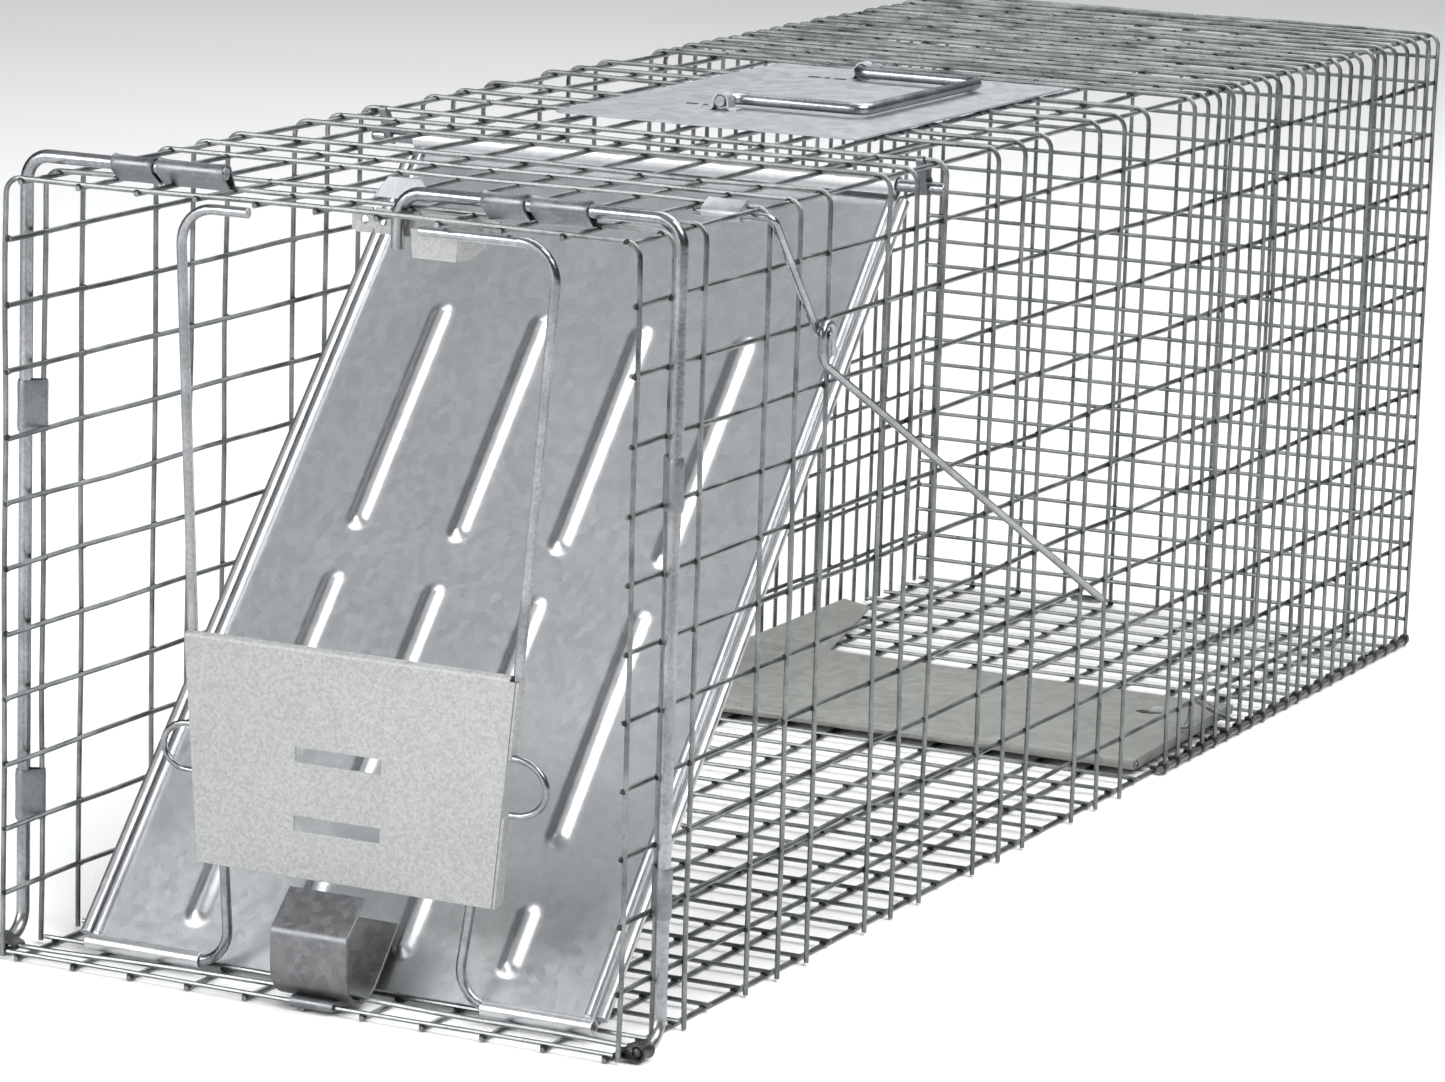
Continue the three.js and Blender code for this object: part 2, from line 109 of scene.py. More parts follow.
def object_coordinates(nodes, links, scale=(1.0, 1.0, 1.0)):
    place = nodes.new("ShaderNodeTexCoord")
    mapping = nodes.new("ShaderNodeMapping")
    mapping.inputs["Scale"].default_value = scale
    links.new(place.outputs["Object"], mapping.inputs["Vector"])
    return mapping.outputs["Vector"]


def noise_value(nodes, links, vector, scale, detail=3.0, rough=0.55):
    texture = nodes.new("ShaderNodeTexNoise")
    texture.inputs["Scale"].default_value = scale
    texture.inputs["Detail"].default_value = detail
    texture.inputs["Roughness"].default_value = rough
    links.new(vector, texture.inputs["Vector"])
    return texture.outputs["Fac"]


def crystal_value(nodes, links, vector, scale):
    texture = nodes.new("ShaderNodeTexVoronoi")
    texture.inputs["Scale"].default_value = scale
    links.new(vector, texture.inputs["Vector"])
    grey = nodes.new("ShaderNodeRGBToBW")
    links.new(texture.outputs["Color"], grey.inputs["Color"])
    return grey.outputs["Val"]


def ramp(nodes, links, value, stops):
    ramp_node = nodes.new("ShaderNodeValToRGB")
    elements = ramp_node.color_ramp.elements
    while len(elements) < len(stops):
        elements.new(0.5)
    for element, (position, colour) in zip(elements, stops):
        element.position = position
        element.color = (*colour, 1.0) if len(colour) == 3 else (colour[0],) * 3 + (1.0,)
    links.new(value, ramp_node.inputs["Fac"])
    return ramp_node.outputs["Color"]


def map_range(nodes, links, value, low, high, from_low=0.0, from_high=1.0):
    node = nodes.new("ShaderNodeMapRange")
    node.inputs["From Min"].default_value = from_low
    node.inputs["From Max"].default_value = from_high
    node.inputs["To Min"].default_value = low
    node.inputs["To Max"].default_value = high
    links.new(value, node.inputs["Value"])
    return node.outputs["Result"]


def mix_colour(nodes, links, factor, first, second, blend="MIX"):
    node = nodes.new("ShaderNodeMix")
    node.data_type = "RGBA"
    node.blend_type = blend
    if isinstance(factor, float):
        node.inputs["Factor"].default_value = factor
    else:
        links.new(factor, node.inputs["Factor"])
    links.new(first, node.inputs["A"])
    links.new(second, node.inputs["B"])
    return node.outputs["Result"]


def bump(nodes, links, shader, value, strength, distance):
    node = nodes.new("ShaderNodeBump")
    node.inputs["Strength"].default_value = strength
    node.inputs["Distance"].default_value = distance
    links.new(value, node.inputs["Height"])
    links.new(node.outputs["Normal"], shader.inputs["Normal"])


def wire_metal(name, dark, light, rough=(0.26, 0.5), scale=60.0):
    """Zinc coated wire and rod: cloudy grey with fine drawn pits."""
    material, nodes, links, shader = new_material(name, 1.0, 0.35, light)
    vector = object_coordinates(nodes, links)
    clouds = noise_value(nodes, links, vector, scale)
    fine = noise_value(nodes, links, vector, scale * 14, 2.0)
    colour = ramp(nodes, links, clouds, [(0.3, dark), (0.68, light)])
    speck = ramp(nodes, links, fine, [(0.25, (0.72,)), (0.6, (1.0,))])
    links.new(mix_colour(nodes, links, 1.0, colour, speck, "MULTIPLY"), shader.inputs["Base Color"])
    links.new(map_range(nodes, links, clouds, *rough, 0.3, 0.7), shader.inputs["Roughness"])
    bump(nodes, links, shader, fine, 0.25, 0.0002)
    return material


def sheet_metal(name, dark, light, metallic, rough, spangle, grain, grain_strength):
    """Galvanised sheet: zinc crystals, a fine grain and soft clouding."""
    material, nodes, links, shader = new_material(name, metallic, 0.4, light)
    vector = object_coordinates(nodes, links)
    wobble = noise_value(nodes, links, vector, spangle * 0.9)
    crystals = crystal_value(nodes, links, vector, spangle)
    clouds = noise_value(nodes, links, vector, 9.0, 4.0)
    fine = noise_value(nodes, links, vector, grain, 4.0, 0.7)
    base = ramp(nodes, links, crystals, [(0.15, dark), (0.85, light)])
    soft = ramp(nodes, links, clouds, [(0.3, (0.86,)), (0.7, (1.04,))])
    speckle = ramp(nodes, links, fine, [(0.3, (1.0 - grain_strength,)), (0.62, (1.0,))])
    colour = mix_colour(nodes, links, 1.0, base, soft, "MULTIPLY")
    colour = mix_colour(nodes, links, 1.0, colour, speckle, "MULTIPLY")
    links.new(colour, shader.inputs["Base Color"])
    blurred = nodes.new("ShaderNodeMath")
    blurred.operation = "ADD"
    links.new(crystals, blurred.inputs[0])
    links.new(wobble, blurred.inputs[1])
    links.new(map_range(nodes, links, blurred.outputs[0], *rough, 0.4, 1.5), shader.inputs["Roughness"])
    bump(nodes, links, shader, fine, 0.18, 0.0003)
    return material


MESH_WIRE = wire_metal("mesh_wire_metal", (0.11, 0.12, 0.12), (0.3, 0.315, 0.315))
ROD = wire_metal("rod_metal", (0.2, 0.21, 0.215), (0.38, 0.39, 0.4), (0.2, 0.36), 45.0)
# near-black wire metal for the weld beads: painted contact shade at the crossings
WELD_PAINTED_SHADE = wire_metal("weld_painted_shade_metal", (0.02, 0.02, 0.02), (0.07, 0.07, 0.07), (0.4, 0.6))
CLIP = sheet_metal(
    "clip_metal", (0.2, 0.21, 0.22), (0.27, 0.285, 0.295),
    0.9, (0.34, 0.5), 90.0, 700.0, 0.25)
# near-black copy of the clip metal: painted shade for floor-level parts, slots and holes
CLIP_PAINTED_SHADE = sheet_metal(
    "clip_metal_painted_shade", (0.05, 0.05, 0.05), (0.11, 0.11, 0.115),
    0.9, (0.3, 0.5), 300.0, 900.0, 0.3)
BRIGHT = sheet_metal(
    "bright_sheet_metal", (0.63, 0.645, 0.655), (0.68, 0.695, 0.705),
    1.0, (0.3, 0.37), 260.0, 1400.0, 0.14)
DULL = sheet_metal(
    "dull_sheet_metal", (0.33, 0.34, 0.335), (0.43, 0.44, 0.43),
    0.4, (0.5, 0.66), 900.0, 900.0, 0.14)
# darker copy of the sheet metal for the finger tab: painted shade on its curl
TAB_PAINTED_SHADE = sheet_metal(
    "tab_sheet_metal_painted_shade", (0.15, 0.155, 0.16), (0.2, 0.205, 0.21),
    0.8, (0.36, 0.5), 300.0, 900.0, 0.14)
GUARD = sheet_metal(
    "guard_sheet_metal", (0.38, 0.4, 0.42), (0.45, 0.47, 0.49),
    0.8, (0.42, 0.56), 200.0, 900.0, 0.1)
PAN = sheet_metal(
    "pan_sheet_metal", (0.3, 0.31, 0.285), (0.36, 0.37, 0.34),
    0.5, (0.45, 0.6), 260.0, 900.0, 0.14)


# ------------ mesh building

def ball_mesh():
    """A low ball: two poles and two rings of six."""
    points = [(0.0, 0.0, 1.0)]
    for z, turn in ((0.45, 0.0), (-0.45, 30.0)):
        reach = math.sqrt(1 - z * z)
        for i in range(6):
            angle = math.radians(60 * i + turn)
            points.append((reach * math.cos(angle), reach * math.sin(angle), z))
    points.append((0.0, 0.0, -1.0))
    faces = []
    for i in range(6):
        n = (i + 1) % 6
        faces += [(0, 1 + i, 1 + n), (1 + i, 7 + i, 1 + n), (1 + n, 7 + i, 7 + n), (7 + i, 13, 7 + n)]
    return points, faces


NUGGET_POINTS, NUGGET_FACES = ball_mesh()


class Body:
    """Points and faces of one piece, gathered from many tubes and sheets."""

    def __init__(self):
        self.points = []
        self.faces = []

    def add(self, points, faces):
        start = len(self.points)
        self.points.extend(points)
        self.faces.extend([tuple(i + start for i in face) for face in faces])

    def tube(self, line, radius, sides):
        """A round rod along a list of points, with flat ends."""
        count = len(line)
        tangents = []
        for i in range(count):
            before = line[max(i - 1, 0)]
            after = line[min(i + 1, count - 1)]
            tangents.append((after - before).normalized())
        axis = Vector((0, 0, 1)) if abs(tangents[0].z) < 0.9 else Vector((1, 0, 0))
        side = (axis - tangents[0] * axis.dot(tangents[0])).normalized()
        points, faces = [], []
        for place, tangent in zip(line, tangents):
            side = (side - tangent * side.dot(tangent)).normalized()
            other = tangent.cross(side)
            for k in range(sides):
                angle = 2 * math.pi * k / sides
                offset = side * math.cos(angle) + other * math.sin(angle)
                points.append(place + offset * radius)
        for i in range(count - 1):
            here, there = i * sides, (i + 1) * sides
            for k in range(sides):
                n = (k + 1) % sides
                faces.append((here + k, here + n, there + n, there + k))
        faces.append(tuple(reversed(range(sides))))
        faces.append(tuple((count - 1) * sides + k for k in range(sides)))
        self.add(points, faces)

    def nugget(self, centre, radius, along):
        """A small weld bead, a little longer along one axis."""
        stretch = Vector((1.0, 1.0, 1.0)) + Vector(along) * 0.35
        points = [Vector(p) for p in NUGGET_POINTS]
        self.add([centre + Vector(a * b for a, b in zip(p, stretch)) * radius for p in points], NUGGET_FACES)

    def loft(self, sections):
        """A skin over equal-sized closed sections, closed at both ends."""
        size = len(sections[0])
        points = [point for section in sections for point in section]
        faces = []
        for i in range(len(sections) - 1):
            for k in range(size):
                n = (k + 1) % size
                faces.append((i * size + k, i * size + n, (i + 1) * size + n, (i + 1) * size + k))
        faces.append(tuple(reversed(range(size))))
        faces.append(tuple((len(sections) - 1) * size + k for k in range(size)))
        self.add(points, faces)

    def ribbon(self, line, thickness, x_low, x_high, steps=1):
        """A bent sheet: its centre line in (y, z), run along X."""
        left, right = [], []
        for i, point in enumerate(line):
            before, after = line[max(i - 1, 0)], line[min(i + 1, len(line) - 1)]
            run = (after - before).normalized()
            normal = Vector((-run.y, run.x)) * (thickness / 2)
            left.append(point + normal)
            right.append(point - normal)
        outline = left + right[::-1]
        xs = [x_low + (x_high - x_low) * i / steps for i in range(steps + 1)]
        self.loft([[Vector((x, p.x, p.y)) for p in outline] for x in xs])


def rounded(corners, bend, steps=6):
    """A polyline with its corners rounded to the given bend radius."""
    points = [Vector(c) for c in corners]
    line = [points[0]]
    for before, corner, after in zip(points, points[1:], points[2:]):
        inward = (before - corner).normalized()
        outward = (after - corner).normalized()
        half = inward.angle(outward) / 2
        reach = bend / math.tan(half)
        centre = corner + (inward + outward).normalized() * (bend / math.sin(half))
        start = corner + inward * reach - centre
        end = corner + outward * reach - centre
        axis = start.cross(end).normalized()
        turn = start.angle(end)
        for i in range(steps + 1):
            line.append(centre + Matrix.Rotation(turn * i / steps, 3, axis) @ start)
    line.append(points[-1])
    return line


def arc(centre, radius, start, end, steps):
    """Points of an arc in a plane, angles in degrees."""
    angles = [math.radians(start + (end - start) * i / steps) for i in range(steps + 1)]
    return [Vector((centre[0] + radius * math.cos(a), centre[1] + radius * math.sin(a))) for a in angles]


def subdivided(start, end, spacing):
    count = max(1, round((end - start).length / spacing))
    return [start.lerp(end, i / count) for i in range(count + 1)]


def wavy(line, amount, seed):
    """Small unevenness of hand-made wire. The noise is not seeded, so it differs from run to run."""
    moved = []
    for point in line:
        shift = noise.noise_vector(point * 14.0 + Vector((seed, seed * 1.7, seed * 0.3)))
        moved.append(point + shift * amount)
    return moved


def piece(name, body, cad_body, material, replaced=(), smooth_angle=40.0, matrix=None, bevel=0.0):
    mesh = bpy.data.meshes.new(name)
    points = body.points if matrix is None else [matrix @ point for point in body.points]
    mesh.from_pydata([tuple(point) for point in points], [], body.faces)
    mesh.validate()
    mesh.polygons.foreach_set("use_smooth", [True] * len(mesh.polygons))
    mesh.set_sharp_from_angle(angle=math.radians(smooth_angle))
    mesh.materials.append(material)
    thing = bpy.data.objects.new(name, mesh)
    bpy.context.scene.collection.objects.link(thing)
    if bevel:
        modifier = thing.modifiers.new("edge", "BEVEL")
        modifier.width = bevel
        modifier.segments = 2
        modifier.limit_method = "ANGLE"
        modifier.angle_limit = math.radians(50)
    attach(thing, cad_body)
    if replaced:
        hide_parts(*replaced)
    return thing


def joint_place(name):
    joint = next(j for j in frame["joints"] if j["name"] == name)
    return Vector(joint["pos_m"])


# ------------ welded mesh

HOOP_PITCH = 26.49 * MM
DENSE_PITCH = 15.16 * MM
FRONT_HOOPS = [k for k in range(21) if k not in (3, 7, 11, 15, 19)]
DENSE_HOOPS = range(1, 22)
HOOPS = [FRONT_Y + k * HOOP_PITCH for k in FRONT_HOOPS]
DENSE_START = HOOPS[-1]
HOOPS += [DENSE_START + k * DENSE_PITCH for k in DENSE_HOOPS]
MESH_PITCH = INCH
SUNK = 1.4 * WIRE_R
STUB = 1.8 * MM
WAVE_STEP = 24 * MM
STRAIGHT_STEP = 60 * MM
SIDE_LEVELS = range(1, 12)
REAR_LEVELS = range(1, 24)
ROOF_WIRES = 11
ROOF_WIRE_START = -127.0 * MM
ROOF_WIRE_PITCH = 25.55 * MM
REAR_INSET = 1.0 * MM
HOOP_CORNER = 6 * MM
FLOOR_Y = [FRONT_Y + k * HOOP_PITCH for k in range(21)]
FLOOR_Y += [FLOOR_Y[-1] + k * 1.4 * DENSE_PITCH for k in range(1, 16)]


def hoop_line(y):
    """One wire bent over the cage: up the left wall, across the roof, down the right wall."""
    foot, reach, high = 0.8 * MM, WALL_X, ROOF_Z
    line = subdivided(Vector((-reach, y, foot)), Vector((-reach, y, high - HOOP_CORNER)), WAVE_STEP)
    for cx, start in ((-reach + HOOP_CORNER, 180), (reach - HOOP_CORNER, 90)):
        bend = arc((cx, high - HOOP_CORNER), HOOP_CORNER, start, start - 90, 5)
        if start == 90:
            line += subdivided(line[-1], Vector((bend[0].x, y, bend[0].y)), WAVE_STEP)[1:-1]
            line += [Vector((p.x, y, p.y)) for p in bend]
        else:
            line += [Vector((p.x, y, p.y)) for p in bend[1:]]
    line += subdivided(line[-1], Vector((reach, y, foot)), WAVE_STEP)[1:]
    return line


def roof_wire_xs():
    return [ROOF_WIRE_START + i * ROOF_WIRE_PITCH for i in range(ROOF_WIRES)]


def make_mesh_walls():
    hoops = Body()
    for index, y in enumerate(HOOPS):
        hoops.tube(wavy(hoop_line(min(y, BACK_Y - REAR_INSET)), 0.9 * MM, index * 3.1), WIRE_R, 8)
    piece("welded_hoops", hoops, "cage", MESH_WIRE,
          ("cage_left_wall", "cage_right_wall", "cage_roof", "cage_floor", "cage_rear_panel"))

    long_wires = Body()
    for level in SIDE_LEVELS:
        z = FLOOR_Z + level * MESH_PITCH
        for sign in (-1, 1):
            x = sign * (WALL_X - SUNK)
            ends = Vector((x, FRONT_Y - STUB * 0.5, z)), Vector((x, BACK_Y + 0.3 * MM, z))
            long_wires.tube(wavy(subdivided(*ends, WAVE_STEP), 0.8 * MM, level + 40 * sign), WIRE_R, 8)
    for index, x in enumerate(roof_wire_xs()):
        stub = STUB if index < 10 else STUB * 0.5
        ends = Vector((x, FRONT_Y - stub, ROOF_Z - SUNK)), Vector((x, BACK_Y + 0.3 * MM, ROOF_Z - SUNK))
        long_wires.tube(wavy(subdivided(*ends, WAVE_STEP), 0.8 * MM, index + 90), WIRE_R, 8)
        ends = Vector((x, FRONT_Y - 1.5 * MM, WIRE_R)), Vector((x, BACK_Y + 1.0 * MM, WIRE_R))
        long_wires.tube(subdivided(*ends, STRAIGHT_STEP), WIRE_R, 8)
    piece("welded_long_wires", long_wires, "cage", MESH_WIRE)

    floor_wires = Body()
    for index, y in enumerate(FLOOR_Y):
        ends = Vector((-WALL_X + 2 * MM, y, 2.9 * WIRE_R)), Vector((WALL_X - 2 * MM, y, 2.9 * WIRE_R))
        floor_wires.tube(wavy(subdivided(*ends, 30 * MM), 0.5 * MM, index + 200), WIRE_R * 0.9, 8)
    edge_x, edge_y, edge_z = WALL_X - 1 * MM, FRONT_Y + 8 * MM, 4.6 * MM
    ends = Vector((-edge_x, edge_y, edge_z)), Vector((edge_x, edge_y, edge_z))
    floor_wires.tube(wavy(subdivided(*ends, 16 * MM), 1.6 * MM, 260), WIRE_R, 8)
    piece("welded_floor_wires", floor_wires, "cage", MESH_WIRE)

    rear = Body()
    plane = BACK_Y - 0.2 * MM
    for x in roof_wire_xs():
        ends = Vector((x, plane, 3 * MM)), Vector((x, plane, ROOF_Z - 3 * MM))
        rear.tube(subdivided(*ends, STRAIGHT_STEP), WIRE_R, 8)
    for level in REAR_LEVELS:
        z = FLOOR_Z + level * MESH_PITCH / 2
        ends = Vector((-WALL_X + 1 * MM, plane - SUNK, z)), Vector((WALL_X - 1 * MM, plane - SUNK, z))
        rear.tube(subdivided(*ends, STRAIGHT_STEP), WIRE_R, 8)
    piece("welded_rear_wires", rear, "cage", MESH_WIRE)


def make_welds():
    """A weld bead at every crossing, coloured near-black as painted contact shade where the wires cross."""
    beads = Body()
    bead = 1.42 * MM
    for y in [min(hoop, BACK_Y - REAR_INSET) for hoop in HOOPS]:
        for level in SIDE_LEVELS:
            z = FLOOR_Z + level * MESH_PITCH
            for sign in (-1, 1):
                beads.nugget(Vector((sign * (WALL_X - SUNK * 0.5), y, z)), bead, (0, 1, 0))
        for x in roof_wire_xs():
            beads.nugget(Vector((x, y, ROOF_Z - SUNK * 0.5)), bead, (1, 0, 0))
    for y in FLOOR_Y:
        for x in roof_wire_xs():
            beads.nugget(Vector((x, y, 1.9 * WIRE_R)), bead * 0.95, (1, 0, 0))
    for x in roof_wire_xs():
        for level in REAR_LEVELS:
            place = Vector((x, BACK_Y - 0.2 * MM - SUNK * 0.5, FLOOR_Z + level * MESH_PITCH / 2))
            beads.nugget(place, bead, (1, 0, 0))
    piece("weld_beads_painted_shade", beads, "cage", WELD_PAINTED_SHADE)


def make_seam():
    """The crimped edge that closes the right wall's foot towards the rear: a wrap at each hoop, near-black as
    painted shade in the crimp.
    """
    wraps = Body()
    stops = [min(y, BACK_Y - REAR_INSET) for y in HOOPS if y > DENSE_START - 1.5 * HOOP_PITCH]
    x = WALL_X - 0.6 * MM
    for y in stops:
        sections = []
        for share, grow in ((0.0, 0.86), (0.15, 1.0), (0.5, 0.93), (0.85, 1.0), (1.0, 0.86)):
            along = y - 1.9 * MM + share * 3.8 * MM
            ring = arc((x, 2.9 * MM), 2.3 * MM * grow, 0, 324, 9)
            sections.append([Vector((p.x, along, p.y + 0.9 * MM * (p.y > 2.9 * MM))) for p in ring])
        wraps.loft(sections)
    piece("floor_seam_wraps_painted_shade", wraps, "cage", CLIP_PAINTED_SHADE)
    edge = Body()
    edge.tube([Vector((x, stops[0] - 4 * MM, 2.6 * MM)), Vector((x, BACK_Y, 2.6 * MM))], 1.5 * MM, 10)
    piece("floor_seam_edge", edge, "cage", CLIP)


# ------------ front frame rods and clips

FRAME_R = 2.6 * MM
FRAME_BEND = 10 * MM
FRAME_DROP = 21.3 * MM
rod_low, rod_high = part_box("frame_clip_roof_left_outer")
FRAME_Y = (rod_low.y + rod_high.y) / 2
FRAME_TOP = (rod_low.z + rod_high.z) / 2


def make_frame_rods():
    for side in ("left", "right"):
        low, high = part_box("front_frame_" + side)
        radius = FRAME_R
        sign = -1 if side == "left" else 1
        x = sign * (high.x - radius if sign > 0 else -low.x - radius)
        y = FRAME_Y
        top = high.z - radius
        foot = low.z + radius
        start = [(x, low.y + 2.2 * MM, foot), (x, y, foot), (x, y, top)]
        if side == "left":
            route = start + [(high.x, y, top)]
        else:
            end_x = low.x + radius
            route = start + [(end_x, y, top), (end_x, y, top - FRAME_DROP)]
        line = rounded(route, FRAME_BEND, 8)
        body = Body()
        body.tube(line, radius, 20)
        piece("frame_rod_" + side, body, "cage", ROD, ("front_frame_" + side,), bevel=0.3 * MM)
        # the rod's toe on the floor, near-black: painted contact shade
        toe = Body()
        toe.nugget(Vector((x, low.y + 2.2 * MM, foot)), 2.75 * MM, (0, -0.8, 0))
        piece("frame_rod_toe_painted_shade_" + side, toe, "cage", CLIP_PAINTED_SHADE, (), 60.0)


def stadium(centre_a, centre_b, radius_a, radius_b, steps=8):
    """Outline of a band round two parallel wires, in a plane."""
    run = (centre_b - centre_a).normalized()
    lean = math.degrees(math.atan2(run.y, run.x))
    first = arc(centre_a, radius_a, lean + 90, lean + 270, steps)
    second = arc(centre_b, radius_b, lean - 90, lean + 90, steps)
    return first + second


def wrap_clip(name, node, axis, rod_centre, wire_centre, low, high, flare=0.5 * MM, metal=None):
    """A crimped sheet band round the rod and the mesh wire beside it; flare widens its ends."""
    body = Body()
    depth = 0.6 * MM
    outer, inner = [], []
    length = high - low
    stations = [(0.0, flare), (0.05, 0.4 * flare), (0.12, 0.0), (0.5, -0.15 * MM),
                (0.88, 0.0), (0.95, 0.4 * flare), (1.0, flare)]
    for share, grow in stations:
        along = low + share * length
        outline = stadium(rod_centre, wire_centre, FRAME_R + depth + grow, WIRE_R + depth + grow * 0.5)
        hollow = stadium(rod_centre, wire_centre, FRAME_R + 0.15 * MM, WIRE_R + 0.15 * MM)
        place = {
            "x": lambda p: Vector((along, p.x, p.y)),
            "z": lambda p: Vector((p.x, p.y, along)),
            "y": lambda p: Vector((p.x, along, p.y)),
        }[axis]
        outer.append([place(p) for p in outline])
        inner.append([place(p) for p in hollow])
    sections = outer + inner[::-1]
    size = len(outer[0])
    points = [point for section in sections for point in section]
    count = len(sections)
    faces = []
    for i in range(count):
        j = (i + 1) % count
        for k in range(size):
            n = (k + 1) % size
            faces.append((i * size + k, i * size + n, j * size + n, j * size + k))
    body.add(points, faces)
    piece(name, body, "cage", metal or CLIP, (node,), 35.0)


def make_frame_clips():
    roof_wire = Vector((HOOPS[1], ROOF_Z))
    for which in ("left_outer", "left_inner", "right_inner", "right_outer"):
        low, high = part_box("frame_clip_roof_" + which)
        wrap_clip("crimp_roof_" + which, "frame_clip_roof_" + which, "x",
                  Vector((FRAME_Y, FRAME_TOP)), roof_wire, low.x, high.x)
    for which in ("left_upper", "left_lower", "right_upper", "right_lower"):
        low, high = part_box("frame_clip_wall_" + which)
        rod_x = (low.x + high.x) / 2
        wall = math.copysign(WALL_X, rod_x)
        wrap_clip("crimp_wall_" + which, "frame_clip_wall_" + which, "z",
                  Vector((rod_x, FRAME_Y)), Vector((wall, HOOPS[1])), low.z, high.z, -0.3 * MM)
    # the foot clips take the near-black clip copy: painted shade at floor level
    for which in ("left", "right"):
        low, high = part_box("frame_clip_foot_" + which)
        rod_x = (low.x + high.x) / 2
        wall = math.copysign(WALL_X - 1 * MM, rod_x)
        wrap_clip("crimp_foot_painted_shade_" + which, "frame_clip_foot_" + which, "y",
                  Vector((rod_x, (low.z + high.z) / 2)), Vector((wall, 3.4 * MM)),
                  low.y, high.y, metal=CLIP_PAINTED_SHADE)


# ------------ door

HINGE = joint_place("door_hinge")
SLEEVE = joint_place("lock_bail_pivot")
DOOR_RUN = HINGE - SLEEVE
DOOR_RUN.x = 0
DOOR_LENGTH = DOOR_RUN.length
DOOR_SLOPE = math.atan2(DOOR_RUN.z, DOOR_RUN.y)
DOOR_FRAME = Matrix.Translation(Vector((0, HINGE.y, HINGE.z))) @ Matrix.Rotation(DOOR_SLOPE, 4, "X")
DOOR_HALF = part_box("door_sheet")[1].x
SHEET = 0.9 * MM
CURL = 3.9 * MM
RIB_XS = [-68.5 * MM, -22.8 * MM, 22.8 * MM, 68.5 * MM]
RIB_ROWS = [(14.5, 48.0), (70.5, 178.0), (195.5, 306.0)]
RIB_HALF = 6.2 * MM
RIB_DEPTH = 2.6 * MM


def rib_depth(x, s):
    """How far the sheet is pressed out at x across and s up from the bottom edge."""
    deepest = 0.0
    for rib_x in RIB_XS:
        for low, high in RIB_ROWS:
            nearest = min(max(s, low * MM + RIB_HALF), high * MM - RIB_HALF)
            away = math.hypot(x - rib_x, s - nearest)
            if away < RIB_HALF:
                deepest = max(deepest, RIB_DEPTH * 0.5 * (1 + math.cos(math.pi * away / RIB_HALF)))
    return deepest


def door_stations():
    """Where the sheet's grid has its lines: close together over the ribs."""
    fine = 1.0 * MM
    xs = {-DOOR_HALF, DOOR_HALF}
    for rib_x in RIB_XS:
        count = int(RIB_HALF / fine) + 1
        xs |= {rib_x + i * fine for i in range(-count, count + 1)}
    for i in range(int(2 * DOOR_HALF / (11 * MM)) + 1):
        x = -DOOR_HALF + i * 11 * MM
        if min(abs(x - r) for r in RIB_XS) > RIB_HALF + 2 * fine:
            xs.add(x)
    ss = {2 * MM, DOOR_LENGTH}
    for low, high in RIB_ROWS:
        for end in (low * MM, high * MM):
            inward = 1 if end == low * MM else -1
            ss |= {end + inward * (i - 1) * fine for i in range(9)}
    step = 9 * MM
    for i in range(int(DOOR_LENGTH / step)):
        s = 2 * MM + i * step
        if min(abs(s - e * MM) for row in RIB_ROWS for e in row) > 10 * MM:
            ss.add(s)
    return sorted(xs), sorted(ss)


